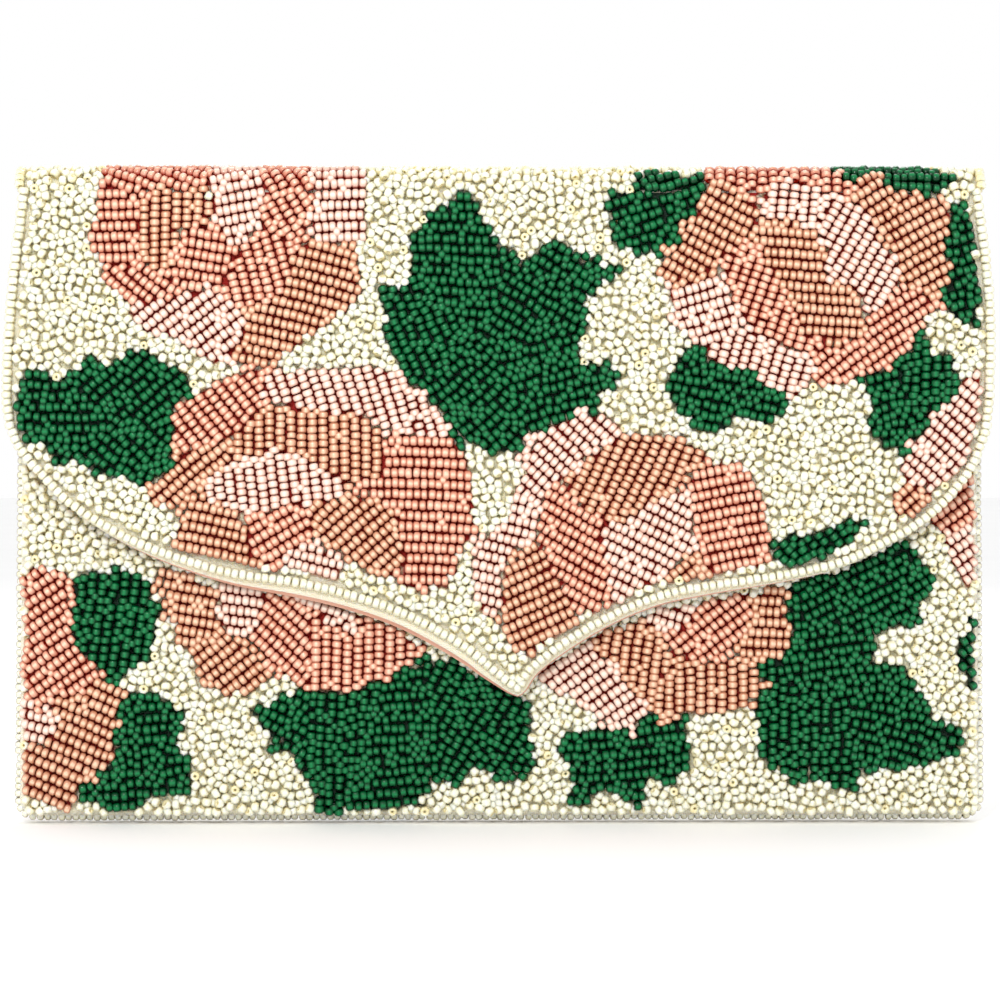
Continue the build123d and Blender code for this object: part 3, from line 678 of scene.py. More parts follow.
# A bead's section, as shares of its radius and half length, and how much painted light each ring gets:
# painted shade at the ends, painted highlight at the crest
SEGMENTS = 8
PROFILE = [(0.26, -0.66), (0.70, -1.0), (1.0, -0.50), (1.0, 0.50), (0.70, 1.0), (0.26, 0.66)]
RING_PAINTED_LIGHT = [0.0, 0.55, 1.0, 1.0, 0.55, 0.0]
# Painted shade: a flank that faces sideways keeps only this share of its ring's painted light
FLANK_PAINTED_LIGHT = 0.12
BEADS_IN_PIECE = 1900
RADIUS = {"ivory": 1.22, "blush": 1.29, "coral": 1.29, "tan": 1.29, "green": 1.28, "seam": 1.27}
LENGTH = {"ivory": 1.84, "blush": 1.74, "coral": 1.74, "tan": 1.74, "green": 1.92, "seam": 1.66}
CELL_MARGIN = 0.06

# How much beads differ from one another, in size, height off the cloth and tilt
SIZE_SPREAD, LENGTH_SPREAD = 0.045, 0.05
IVORY_LIFT, ROW_LIFT, SUNK_DEPTH = (-0.1, 0.35), (-0.08, 0.08), 0.75
IVORY_TILT, ROW_TILT, STANDING_TILT = 0.28, 0.07, 0.22
STRAND_RADIUS, STRAND_FILL = 1.27, 0.95
STRAND_SIZE_SPREAD, STRAND_LENGTH_SPREAD = 0.035, 0.03
STRAND_TURN, STRAND_SHIFT = 0.07, 0.06


def new_mesh(name, points, quads, paints, numbers=None, flat_from=None):
    """A mesh object from arrays, points in millimetres. Faces from flat_from on are flat, the rest smooth."""
    mesh = bpy.data.meshes.new(name)
    mesh.vertices.add(len(points))
    mesh.vertices.foreach_set("co", (np.asarray(points, np.float32) * MM).ravel())
    mesh.loops.add(quads.size)
    mesh.loops.foreach_set("vertex_index", np.ascontiguousarray(quads, np.int32).ravel())
    mesh.polygons.add(len(quads))
    mesh.polygons.foreach_set("loop_start", np.arange(0, quads.size, 4, dtype=np.int32))
    smooth = np.ones(len(quads), bool)
    smooth[flat_from if flat_from is not None else len(quads):] = False
    mesh.polygons.foreach_set("use_smooth", smooth)
    for paint in paints:
        mesh.materials.append(paint)
    if numbers is not None:
        mesh.polygons.foreach_set("material_index", np.asarray(numbers, np.int32))
    mesh.update(calc_edges=True)
    mesh.validate()
    piece = bpy.data.objects.new(name, mesh)
    bpy.context.scene.collection.objects.link(piece)
    return piece


def bead_template():
    """One bead's points as axis, side and out, its faces, and its painted light: painted shade at the ends
    and flanks, painted highlight on the crest.
    """
    turn = np.arange(SEGMENTS) * 2 * math.pi / SEGMENTS
    points, painted_light = [], []
    # Painted shade on the flanks, growing as a point turns sideways from the cloth
    facing_out = np.clip(FLANK_PAINTED_LIGHT + (1 - FLANK_PAINTED_LIGHT) * np.sin(turn), 0, 1)
    for (radius, along), shade in zip(PROFILE, RING_PAINTED_LIGHT):
        ring = np.stack([np.full(SEGMENTS, along), radius * np.cos(turn), radius * np.sin(turn)], 1)
        points.append(ring)
        painted_light += list(shade * facing_out)
    quads = []
    rings = len(PROFILE)
    for ring in range(rings):
        for seg in range(SEGMENTS):
            here, there = ring * SEGMENTS, (ring + 1) % rings * SEGMENTS
            after = (seg + 1) % SEGMENTS
            quads.append((here + seg, there + seg, there + after, here + after))
    return np.concatenate(points), np.array(quads), np.array(painted_light)


def bead_uv(count):
    """A map that gives every bead a cell of its own, so each bead's colours have room of their own."""
    side = math.ceil(math.sqrt(count))
    cell = np.stack([np.arange(count) % side, np.arange(count) // side], 1)
    rings = len(PROFILE)
    faces = []
    for ring in range(rings):
        for seg in range(SEGMENTS):
            u0, u1 = seg / SEGMENTS, (seg + 1) / SEGMENTS
            v0, v1 = ring / rings, (ring + 1) / rings
            faces.append([(u0, v0), (u0, v1), (u1, v1), (u1, v0)])
    inner = CELL_MARGIN + (1 - 2 * CELL_MARGIN) * np.array(faces).reshape(-1, 2)
    return (cell[:, None, :] + inner[None]) / side


def bead_piece(name, place, axis, out, radius, length, kinds):
    """One object holding many beads."""
    points, quads, painted_light = bead_template()
    side = np.cross(out, axis)
    side /= np.linalg.norm(side, axis=1, keepdims=True)
    up = np.cross(axis, side)
    spots = place[:, None] + axis[:, None] * (points[None, :, 0:1] * length[:, None, None] / 2)
    spots = spots + side[:, None] * (points[None, :, 1:2] * radius[:, None, None])
    spots = spots + up[:, None] * (points[None, :, 2:3] * radius[:, None, None])
    count = len(place)
    faces = quads[None] + (np.arange(count) * len(points))[:, None, None]
    numbers = np.repeat(kinds.astype(int), len(quads))
    paints = [BEAD_MATERIALS[k] for k in KINDS]
    piece = new_mesh(name, spots.reshape(-1, 3), faces.reshape(-1, 4), paints, numbers)
    tone = piece.data.attributes.new("tone", "FLOAT", "POINT")
    tone.data.foreach_set("value", np.repeat(RNG.uniform(0, 1, count), len(points)).astype(np.float32))
    # Painted light for each point: painted shade at the ends and flanks, painted highlight on the crest
    shade = piece.data.attributes.new("painted_light", "FLOAT", "POINT")
    shade.data.foreach_set("value", np.tile(painted_light, count).astype(np.float32))
    layer = piece.data.uv_layers.new(name="OFBake")
    layer.data.foreach_set("uv", bead_uv(count).astype(np.float32).ravel())
    return piece


def sew(name, surface, beads, mount):
    """Beads on a surface, in pieces of limited size, each given to a body by mount."""
    order = np.argsort(beads[:, 0], kind="stable")
    beads = beads[order]
    made = []
    for number, part in enumerate(np.array_split(beads, math.ceil(len(beads) / BEADS_IN_PIECE))):
        x, s, slant, kind, lie = part.T
        stands, sunk = lie == STANDING, lie == SUNK
        count, sort = len(part), kind.astype(int)
        radius = np.array([RADIUS[k] for k in KINDS])[sort] * RNG.normal(1, SIZE_SPREAD, count)
        length = np.array([LENGTH[k] for k in KINDS])[sort] * RNG.normal(1, LENGTH_SPREAD, count)
        lift = np.where(stands, length / 2, radius) - np.where(sunk, SUNK_DEPTH, 0)
        loose, level = RNG.uniform(*IVORY_LIFT, count), RNG.uniform(*ROW_LIFT, count)
        lift = lift + np.where(kind == 0, loose, level)
        point, right, up, out = frames(surface, x, s, 0.0)
        axis = right * np.cos(slant)[:, None] + up * np.sin(slant)[:, None]
        tilt = np.where(kind == 0, RNG.normal(0, IVORY_TILT, count), RNG.normal(0, ROW_TILT, count))
        tilt = np.where(stands, RNG.normal(math.pi / 2, STANDING_TILT, count), tilt)[:, None]
        leaning = axis * np.cos(tilt) + out * np.sin(tilt)
        facing = out * np.cos(tilt) - axis * np.sin(tilt)
        centre = point + out * lift[:, None]
        made.append(bead_piece(f"{name}_{number + 1}", centre, leaning, facing, radius, length, kind))
        mount(made[-1])
    return made


def strand(name, line, out, pitch, mount, kind="ivory"):
    """A single row of ivory beads threaded along a line in space."""
    line = evenly(np.asarray(line, float), pitch)
    axis = np.gradient(line, axis=0)
    axis /= np.linalg.norm(axis, axis=1, keepdims=True)
    axis += RNG.normal(0, STRAND_TURN, axis.shape)
    axis /= np.linalg.norm(axis, axis=1, keepdims=True)
    out = np.broadcast_to(np.asarray(out, float), line.shape)
    out = out - axis * (out * axis).sum(1, keepdims=True)
    out /= np.linalg.norm(out, axis=1, keepdims=True)
    count = len(line)
    radius = STRAND_RADIUS * RNG.normal(1, STRAND_SIZE_SPREAD, count)
    length = pitch * STRAND_FILL * RNG.normal(1, STRAND_LENGTH_SPREAD, count)
    spots = line + RNG.normal(0, STRAND_SHIFT, line.shape)
    piece = bead_piece(name, spots, axis, out, radius, length, np.full(count, KIND_NUMBER[kind]))
    mount(piece)
    return piece


# ---------------------------------------------------------------- materials


BLACK, WHITE = (0, 0, 0, 1), (1, 1, 1, 1)
TONE_STOPS = (0.0, 0.35, 0.7, 1.0)
BEAD_CLOUD = 900
HIGHLIGHT_FROM, DARK_TO = 0.78, 0.1


def material(name, roughness, **settings):
    """A new material with its shader's fixed values set."""
    made = bpy.data.materials.new(name)
    made.use_nodes = True
    shader = made.node_tree.nodes["Principled BSDF"]
    shader.inputs["Roughness"].default_value = roughness
    for key, value in settings.items():
        shader.inputs[key.replace("_", " ")].default_value = value
    return made, made.node_tree.nodes, made.node_tree.links, shader


def srgb(red, green, blue):
    """A colour given as it looks on a screen, from 0 to 255."""
    return [((v / 255 + 0.055) / 1.055) ** 2.4 if v > 10 else v / 3294 for v in (red, green, blue)] + [1.0]


def ramp(nodes, links, source, stops):
    """A colour ramp fed by a socket."""
    node = nodes.new("ShaderNodeValToRGB")
    while len(node.color_ramp.elements) < len(stops):
        node.color_ramp.elements.new(0.5)
    for element, (at, colour) in zip(node.color_ramp.elements, stops):
        element.position = at
        element.color = colour
    links.new(source, node.inputs["Fac"])
    return node.outputs["Color"]


def attribute(nodes, name):
    """A value kept on the mesh's points."""
    node = nodes.new("ShaderNodeAttribute")
    node.attribute_name = name
    return node.outputs["Fac"]


def object_noise(nodes, links, scale, detail=2.0):
    """Noise in the object's own space, so that it stays with the piece."""
    space = nodes.new("ShaderNodeTexCoord")
    noise = nodes.new("ShaderNodeTexNoise")
    noise.inputs["Scale"].default_value = scale
    noise.inputs["Detail"].default_value = detail
    links.new(space.outputs["Object"], noise.inputs["Vector"])
    return noise.outputs["Fac"]


def colour_mix(nodes, links, factor, low, high):
    """Two colours mixed by a factor; each of the three is a fixed value or another node's socket."""
    node = nodes.new("ShaderNodeMixRGB")
    for name, value in (("Fac", factor), ("Color1", low), ("Color2", high)):
        if isinstance(value, bpy.types.NodeSocket):
            links.new(value, node.inputs[name])
        else:
            node.inputs[name].default_value = value
    return node.outputs["Color"]


def bump(nodes, links, shader, height, strength, distance):
    """Fine relief from a height."""
    node = nodes.new("ShaderNodeBump")
    node.inputs["Strength"].default_value = strength
    node.inputs["Distance"].default_value = distance
    links.new(height, node.inputs["Height"])
    links.new(node.outputs["Normal"], shader.inputs["Normal"])

def glow_through(shader):
    """Light carried a little way inside, as in opal glass and thin pale cloth."""
    shader.inputs["Subsurface Weight"].default_value = 0.6
    shader.inputs["Subsurface Radius"].default_value = (1.0, 0.85, 0.6)
    shader.inputs["Subsurface Scale"].default_value = 0.0016


def bead_material(kind, tones, painted_shade, painted_highlight, roughness, coat, reach, shine):
    """Seed-bead glass: tones vary from bead to bead; the ends and flanks get painted shade and the crest a
    painted highlight.
    """
    made, nodes, links, shader = material(f"{kind}_beads", roughness, Coat_Weight=coat, Coat_Roughness=0.12,
                                          Specular_IOR_Level=shine)
    body = ramp(nodes, links, attribute(nodes, "tone"), list(zip(TONE_STOPS, tones)))
    body = colour_mix(nodes, links, object_noise(nodes, links, BEAD_CLOUD), body, tones[1])
    # Painted highlight: the crest of each bead is mixed towards a paler colour
    on_highlight = ramp(nodes, links, attribute(nodes, "painted_light"), [(HIGHLIGHT_FROM, BLACK), (1.0, WHITE)])
    body = colour_mix(nodes, links, on_highlight, body, painted_highlight)
    # Painted shade: the ends and flanks are mixed towards a darker colour
    off_ends = ramp(nodes, links, attribute(nodes, "painted_light"), [(DARK_TO, BLACK), (reach, WHITE)])
    links.new(colour_mix(nodes, links, off_ends, painted_shade, body), shader.inputs["Base Color"])
    if kind in ("ivory", "seam"):
        glow_through(shader)
    return made


def weave(nodes, links, shader, across, strength, distance=0.0001):
    """Bump of crossed threads, a thread each 'across' millimetres."""
    space = nodes.new("ShaderNodeTexCoord")
    total = None
    for axis in ("X", "Z"):
        wave = nodes.new("ShaderNodeTexWave")
        wave.bands_direction = axis
        wave.inputs["Scale"].default_value = 1 / (across * MM) / 3.3
        wave.inputs["Distortion"].default_value = 0.4
        links.new(space.outputs["Object"], wave.inputs["Vector"])
        if total is None:
            total = wave.outputs["Fac"]
            continue
        join = nodes.new("ShaderNodeMath")
        join.operation = "ADD"
        links.new(total, join.inputs[0])
        links.new(wave.outputs["Fac"], join.inputs[1])
        total = join.outputs[0]
    bump(nodes, links, shader, total, strength, distance)
    return total


def cloth_material():
    """Cream ground cloth, a fine plain weave with slubs."""
    made, nodes, links, shader = material("ground_cloth", 0.85, Sheen_Weight=0.3)
    threads = weave(nodes, links, shader, 0.45, 0.6, 0.00015)
    slub = object_noise(nodes, links, 260, 4)
    base = colour_mix(nodes, links, slub, srgb(236, 222, 190), srgb(250, 242, 218))
    shade = ramp(nodes, links, threads, [(0.0, srgb(218, 206, 168)), (0.6, srgb(249, 243, 221))])
    colour = colour_mix(nodes, links, 0.35, base, shade)
    # Painted light makes the cloth paler between the ivory beads; thread colour and painted shade make it
    # dark red under the pink beads and dark green under the green ones
    gap_thread_and_light = {"under_beads": srgb(255, 244, 206), "under_pink": srgb(176, 24, 6),
              "under_green": srgb(10, 46, 26)}
    for name, under in gap_thread_and_light.items():
        colour = colour_mix(nodes, links, attribute(nodes, name), colour, under)
    links.new(colour, shader.inputs["Base Color"])
    glow_through(shader)
    return made


def satin_material():
    """Peach satin, smooth, with long fine threads and a soft sheen."""
    made, nodes, links, shader = material("satin_lining", 0.38, Sheen_Weight=0.35, Anisotropic=0.5)
    weave(nodes, links, shader, 0.22, 0.18)
    cloud = object_noise(nodes, links, 45, 5)
    peach = [(0.3, srgb(222, 160, 134)), (0.5, srgb(228, 168, 142)), (0.75, srgb(234, 180, 156))]
    tint = ramp(nodes, links, cloud, peach)
    links.new(tint, shader.inputs["Base Color"])
    return made


def felt_material():
    """White needled interlining."""
    made, nodes, links, shader = material("interlining", 0.95, Sheen_Weight=0.2)
    fuzz = object_noise(nodes, links, 1400, 6)
    bump(nodes, links, shader, fuzz, 0.6, 0.0002)
    white = colour_mix(nodes, links, fuzz, srgb(226, 222, 210), srgb(246, 244, 236))
    links.new(white, shader.inputs["Base Color"])
    return made


def metal_material(name, low, high, roughness):
    """Plated metal with fine scratches and slightly uneven wear."""
    made, nodes, links, shader = material(name, roughness, Metallic=1.0)
    wear = object_noise(nodes, links, 320, 8)
    links.new(ramp(nodes, links, wear, [(0.35, low), (0.65, high)]), shader.inputs["Base Color"])
    rough = nodes.new("ShaderNodeMapRange")
    rough.inputs["To Min"].default_value = roughness * 0.7
    rough.inputs["To Max"].default_value = roughness * 1.6
    links.new(wear, rough.inputs["Value"])
    links.new(rough.outputs["Result"], shader.inputs["Roughness"])
    bump(nodes, links, shader, object_noise(nodes, links, 2600, 3), 0.15, 0.00005)
    return made


IVORY_TONES = [srgb(220, 215, 184), srgb(228, 225, 200), srgb(234, 232, 212), srgb(242, 240, 225)]
BLUSH_TONES = [srgb(212, 166, 146), srgb(222, 184, 166), srgb(230, 198, 182), srgb(242, 216, 202)]
CORAL_TONES = [srgb(192, 118, 94), srgb(206, 138, 112), srgb(216, 154, 130), srgb(232, 184, 160)]
TAN_TONES = [srgb(176, 112, 82), srgb(194, 134, 102), srgb(208, 152, 122), srgb(226, 182, 154)]
GREEN_TONES = [srgb(0, 44, 20), srgb(0, 60, 28), srgb(0, 74, 36), srgb(2, 94, 48)]
# Each kind of bead: tones, painted shade for ends and flanks, painted highlight for the crest, roughness,
# coat, where the painted shade stops, and shine
BEAD_LOOKS = {
    "ivory": (IVORY_TONES, srgb(234, 221, 176), srgb(242, 240, 225), 0.3, 0.3, 0.5, 0.5),
    "seam": (IVORY_TONES, srgb(120, 100, 62), srgb(246, 244, 230), 0.3, 0.3, 0.7, 0.5),
    "blush": (BLUSH_TONES, srgb(156, 40, 20), srgb(244, 228, 212), 0.2, 0.3, 0.6, 0.35),
    "coral": (CORAL_TONES, srgb(158, 24, 6), srgb(242, 206, 178), 0.2, 0.3, 0.6, 0.35),
    "tan": (TAN_TONES, srgb(134, 26, 0), srgb(238, 204, 172), 0.2, 0.3, 0.6, 0.35),
    "green": (GREEN_TONES, srgb(0, 18, 4), srgb(12, 122, 68), 0.14, 0.12, 0.6, 0.2),
}
BEAD_MATERIALS = {kind: bead_material(kind, *look) for kind, look in BEAD_LOOKS.items()}
CLOTH = cloth_material()
SATIN = satin_material()
FELT = felt_material()
SNAP_METAL = metal_material("snap_metal", srgb(176, 150, 96), srgb(214, 190, 136), 0.28)
WASHER = metal_material("washer_steel", srgb(150, 150, 148), srgb(196, 196, 192), 0.34)
MAGNET = metal_material("magnet", srgb(60, 60, 62), srgb(92, 92, 94), 0.42)

# ---------------------------------------------------------------- sheets of cloth

SEAM_THIN = 0.2


def thinned(surface, x, s):
    """How far a panel's layers close up towards a seam, from SEAM_THIN to 1."""
    if surface is front_point:
        return SEAM_THIN + (1 - SEAM_THIN) * pouch_rise(x, np.maximum(s, 0))
    if surface is back_point:
        z = np.where(s > S_DOWN, S_END - s, S_FOLD)
        return SEAM_THIN + (1 - SEAM_THIN) * pouch_rise(x, np.maximum(z, 0))
    return np.ones_like(x)


def slab(name, surface, x, s, top, bottom, paint, slot, body=None, between=None):
    """A closed sheet over a grid of places, between two depths, on one body, or fixed where it lies."""
    rows, columns = x.shape
    thin = thinned(surface, x, s)
    layers = [surface(x, s, depth * thin).reshape(-1, 3) for depth in (top, bottom)]
    count = rows * columns
    grid = np.arange(count).reshape(rows, columns)
    a, b, c, d = grid[:-1, :-1].ravel(), grid[:-1, 1:].ravel(), grid[1:, 1:].ravel(), grid[1:, :-1].ravel()
    faces = [np.stack([a, b, c, d], 1), np.stack([a, d, c, b], 1) + count]
    loop = np.concatenate([grid[0, :-1], grid[:-1, -1], grid[-1, :0:-1], grid[:0:-1, 0]])
    follow = np.roll(loop, -1)
    faces.append(np.stack([follow, loop, loop + count, follow + count], 1))
    piece = new_mesh(name, np.concatenate(layers), np.concatenate(faces), [paint], flat_from=2 * len(a))
    if paint is CLOTH:
        paint_gap_thread_and_light(piece, surface, x.ravel(), s.ravel())
    settle(piece, body)
    declare_sheet(x, s)
    return piece


LEAST_SHEET = 0.01


def declare_sheet(x, s):
    """Works out the size a piece of cloth was cut to, its places being its flat pattern, and does nothing
    more with it.

    The strips over the folds are stretches of the same cloth, too narrow to count as sheets."""
    width, length = float(np.ptp(x)) * MM, float(np.ptp(s)) * MM
    if length < LEAST_SHEET:
        return


def paint_gap_thread_and_light(piece, surface, x, s):
    """Marks where the cloth lies under beads: painted light pales it between the ivory ones, and thread
    colour with painted shade darkens it under the pink and green ones.
    """
    patches, field = (PANEL, in_panel) if surface is front_point else (WRAP, in_wrap)
    pink, green = np.zeros(len(x)), np.zeros(len(x))
    places = np.column_stack([x, s])
    beaded = field(places)
    for kind, _, outline in patches:
        held = inside(places, outline) & beaded
        green[held] = kind == "green"
        pink[held] = kind != "green"
    for name, values in (("under_beads", beaded), ("under_pink", pink), ("under_green", green)):
        layer = piece.data.attributes.new(name, "FLOAT", "POINT")
        layer.data.foreach_set("value", np.concatenate([values, 0 * values]).astype(np.float32))


def settle(piece, body):
    """Gives a piece to one body, or fixes it where it lies."""
    if body:
        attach(piece, body)
    else:
        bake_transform(piece)


def metres(y, z):
    """A place on the middle plane, in metres."""
    return (0.0, y * MM, z * MM)


def front_fold(depth):
    """How a layer at a depth bends between the spine and the flap."""
    return ("spine", "flap", metres(FLAP_CLOTH_Y + FOLD_R, CREASE_Z - depth),
            metres(FLAP_CLOTH_Y + depth, CREASE_Z - FOLD_R))


def back_fold(depth):
    """How a layer at a depth bends between the pouch's back and the spine."""
    return ("pouch", "spine", metres(BACK_CLOTH_Y - depth, CREASE_Z - FOLD_R),
            metres(BACK_CLOTH_Y - FOLD_R, CREASE_Z - depth))


def panel_grid(half, low, high, columns=220, rows=140):
    """A grid of places over a panel whose half width is a function of height."""
    s = np.linspace(low, high, rows)[:, None] * np.ones((1, columns))
    x = np.linspace(-1, 1, columns)[None] * half(s)
    return x, s


def flap_grid(outward, columns=301, rows=120):
    """A grid from the fold down to the flap's edge."""
    edge = flap_outline(outward)
    edge[:, 1] = np.minimum(edge[:, 1], S_FOLD)
    edge = evenly(edge, np.linalg.norm(np.diff(edge, axis=0), axis=1).sum() / (columns - 1))
    top = np.stack([np.linspace(edge[0, 0], edge[-1, 0], len(edge)), np.full(len(edge), S_FOLD)], 1)
    t = (1 - (1 - np.linspace(0, 1, rows)) ** 1.5)[:, None, None]
    grid = edge[None] + (top - edge)[None] * t
    return grid[..., 0], grid[..., 1]


MARGIN_FROM_X, MARGIN_GROWS = 108, 60
POINT_X, POINT_WIDTH = -8, 12
RIGHT_LOSS = 0.5

def edge_margin(widest, least):
    """How far a layer shows outside the flap's strand: widest left of the point, least at the far sides."""
    x = FLAP_EDGE[:, 0]
    from_side = np.clip((MARGIN_FROM_X - np.abs(x)) / MARGIN_GROWS, 0, 1)
    past_point = np.clip((x - POINT_X) / POINT_WIDTH, 0, 1)
    share = from_side * (1 - RIGHT_LOSS * past_point)
    return least + (widest - least) * share


CLOTH_MARGIN = edge_margin(3.0, 1.0)
LINING_MARGIN = edge_margin(3.9, 0.9)
LAYERS = {"ground_cloth": (0.0, CLOTH_T, CLOTH, "ground_cloth"),
          "interlining": (CLOTH_T, CLOTH_T + INTERLINING_T, FELT, "interlining"),
          "lining": (CLOTH_T + INTERLINING_T, LINING_DEPTH, SATIN, "satin_lining")}


INTERLINING_SHORT = 1.4
LAYER_GAP = 0.05
FOLD_SPARE = 0.6
MOUTH_TURN = 0.4
PANEL_INSETS = {"ground_cloth": 1.9, "interlining": 4.0, "lining": 2.6}
POCKET_HEM = 8.0
POCKET_DEPTHS = (LINING_DEPTH + 0.15, LINING_DEPTH + 0.5)
HEM_DEPTHS = (LINING_DEPTH + 0.1, LINING_DEPTH + 1.0)

def make_flap_layers():
    """The flap's cloth, interlining and lining, the lining reaching a little past the cloth."""
    margins = {"ground_cloth": CLOTH_MARGIN, "interlining": CLOTH_MARGIN - INTERLINING_SHORT,
               "lining": LINING_MARGIN}
    for layer, margin in margins.items():
        piece = slab(f"flap_{layer}_sheet", flap_point, *flap_grid(margin), *LAYERS[layer], body="flap")
        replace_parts(piece, f"flap_{layer}")

def same_half(half):
    """A half width that is the same at every height."""
    return lambda s: np.full_like(s, half)

def make_fold_and_spine():
    """The cloth and lining over the two folds and the spine.

    There is no interlining here, so the lining is drawn thick enough to meet the cloth."""
    half = same_half(TOP_STRAND_HALF + FOLD_SPARE)
    for layer, bend_depth in (("ground_cloth", 0), ("lining", LINING_DEPTH)):
        top, *rest = LAYERS[layer]
        if layer == "lining":
            top = CLOTH_T + LAYER_GAP
        places = panel_grid(half, S_FOLD, S_SPINE, rows=14)
        slab(f"front_fold_{layer}", flap_point, *places, top, *rest, between=front_fold(bend_depth))
        places = panel_grid(half, S_SPINE, S_BACK, rows=8)
        spine = slab(f"spine_{layer}_sheet", spine_point, *places, top, *rest, body="spine")
        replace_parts(spine, f"spine_{layer}")
        places = panel_grid(half, S_BACK, S_DOWN, rows=14)
        slab(f"back_fold_{layer}", back_point, *places, top, *rest, between=back_fold(bend_depth))

def make_pouch_layers():
    """The front and back panels' cloth, interlining and lining."""
    for layer, inset in PANEL_INSETS.items():
        places = panel_grid(lambda z: side_half(z) - inset, inset, MOUTH_Z - MOUTH_TURN)
        front = slab(f"front_{layer}_sheet", front_point, *places, *LAYERS[layer], body="pouch")
        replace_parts(front, f"front_{layer}")
        places = panel_grid(lambda s: side_half(S_END - s) - inset, S_DOWN, S_END - inset)
        back = slab(f"back_{layer}_sheet", back_point, *places, *LAYERS[layer], body="pouch")
        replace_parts(back, f"back_{layer}")

def make_pocket():
    """A slip pocket on the back lining, with a turned hem at its mouth."""
    low, high = node_box("slip_pocket")
    half, mouth = same_half(high[0]), S_END - high[2]
    paint = (SATIN, "satin_lining")
    places = panel_grid(half, mouth + POCKET_HEM, S_END - low[2], 60, 50)
    pocket = slab("slip_pocket_sheet", back_point, *places, *POCKET_DEPTHS, *paint, body="pouch")
    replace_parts(pocket, "slip_pocket")
    places = panel_grid(half, mouth, mouth + POCKET_HEM, 60, 10)
    slab("slip_pocket_hem", back_point, *places, *HEM_DEPTHS, *paint, body="pouch")

# ---------------------------------------------------------------- seams and strands


SEAM_BEND_Z, SEAM_BEND = 120, 35
BINDING_INSET, BINDING_STEP = 2.0, 1.5
BINDING_SECTION = ((-1.5, 0.0), (-1.2, -0.7), (0, -0.95), (1.2, -0.7), (1.5, 0.0), (1.2, 1.3), (0, 1.6),
                   (-1.2, 1.3))
SEAM_PITCH, STRAND_PITCH = 1.75, 1.85
MOUTH_STRAND_HALF = 110.5
STRETCH_GAP = 1.6
FORWARDS, UPWARDS = (0, -1, 0), (0, 0, 1)
FIELD_HALF, FLAP_LOW, PANEL_LOW = 122, 30, 2

def seam_line(inset, step=1.0):
    """The pouch's outer edge, down one side, along the bottom and up the other, moved inwards."""
    z = np.linspace(MOUTH_Z, CORNER_R, 120)
    turn = np.linspace(0, math.pi / 2, 12)[1:]
    corner_x, corner_r = float(side_half(CORNER_R)) - CORNER_R, CORNER_R - inset
    left = np.stack([-(side_half(z) - inset), z], 1)
    bend = np.stack([-(corner_x + corner_r * np.cos(turn)), CORNER_R - corner_r * np.sin(turn)], 1)
    half = np.concatenate([left, bend])
    right = half[::-1] * [-1, 1]
    return evenly(np.concatenate([half, right]), step)

def seam_y(z):
    """How far back the seam lies: midway at the sides, then under the spine."""
    return SEAM_Y + (BACK_CLOTH_Y - FOLD_R - SEAM_Y) * np.clip((z - SEAM_BEND_Z) / SEAM_BEND, 0, 1) ** 2

def make_binding():
    """A folded strip of cloth that closes the pouch between its panels."""
    line = seam_line(BINDING_INSET, BINDING_STEP)
    inward = side_steps(line)
    ring = []
    for across, deep in BINDING_SECTION:
        spot = line + inward * deep
        ring.append(np.stack([spot[:, 0], seam_y(line[:, 1]) + across, spot[:, 1]], 1))
    points = np.stack(ring, 1)
    count, sides = points.shape[:2]
    grid = np.arange(count * sides).reshape(count, sides)
    turned = np.roll(grid, -1, 1)
    quads = np.stack([grid[:-1], turned[:-1], turned[1:], grid[1:]], -1).reshape(-1, 4)
    caps = np.array([grid[0, [0, 1, 2, 3]], grid[0, [0, 3, 4, 7]], grid[0, [4, 5, 6, 7]],
                     grid[-1, [3, 2, 1, 0]], grid[-1, [7, 4, 3, 0]], grid[-1, [7, 6, 5, 4]]])
    piece = new_mesh("seam_binding_strip", points.reshape(-1, 3), np.concatenate([quads, caps]), [CLOTH])
    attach(piece, "pouch")
    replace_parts(piece, "left_seam_binding", "right_seam_binding", "bottom_seam_binding")

def mounting(body=None):
    """A function that gives a piece to one body, or fixes it where it lies."""
    return lambda piece: settle(piece, body)

ON_POUCH, ON_SPINE, ON_FLAP = mounting("pouch"), mounting("spine"), mounting("flap")
OVER_FRONT_FOLD, OVER_BACK_FOLD = mounting(), mounting()

def make_strands():
    """The single strands along the pouch's seams, its mouth, the spine's ends and the flap's edge."""
    line = seam_line(STRAND_INSET)
    spots = np.stack([line[:, 0], seam_y(line[:, 1]), line[:, 1]], 1)
    seam = strand("seam_edge_strand", spots, FORWARDS, SEAM_PITCH, ON_POUCH, "seam")
    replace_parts(seam, "left_edge_beads", "right_edge_beads", "bottom_edge_beads")
    x = np.linspace(-MOUTH_STRAND_HALF, MOUTH_STRAND_HALF, 200)
    z = np.full_like(x, MOUTH_Z + STRAND_R * 0.9)
    rim = front_point(x, z - 1.3, 0.3)
    rim[:, 2] = z
    mouth = strand("mouth_edge_strand", rim, UPWARDS, STRAND_PITCH, ON_POUCH)
    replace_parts(mouth, "mouth_edge_beads")
    x, s = FLAP_EDGE.T
    spots = flap_point(x, np.minimum(s, S_FOLD), -STRAND_R)
    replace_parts(strand("flap_edge_strand", spots, FORWARDS, STRAND_PITCH, ON_FLAP), "flap_edge_beads")
    stretches = (("front_fold_edge", flap_point, S_FOLD, S_SPINE, OVER_FRONT_FOLD),
                 ("spine_edge", spine_point, S_SPINE, S_BACK, ON_SPINE),
                 ("back_fold_edge", back_point, S_BACK, S_DOWN, OVER_BACK_FOLD))
    for name, surface, low, high, mount in stretches:
        s = np.linspace(low + STRETCH_GAP, high, 24)
        for side, sign in (("left", -1), ("right", 1)):
            spots = surface(np.full_like(s, sign * TOP_STRAND_HALF), s, -STRAND_R)
            piece = strand(f"{name}_strand_{side}", spots, (sign, 0, 0), STRAND_PITCH, mount)
            if name == "spine_edge" and sign < 0:
                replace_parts(piece, "spine_edge_beads")

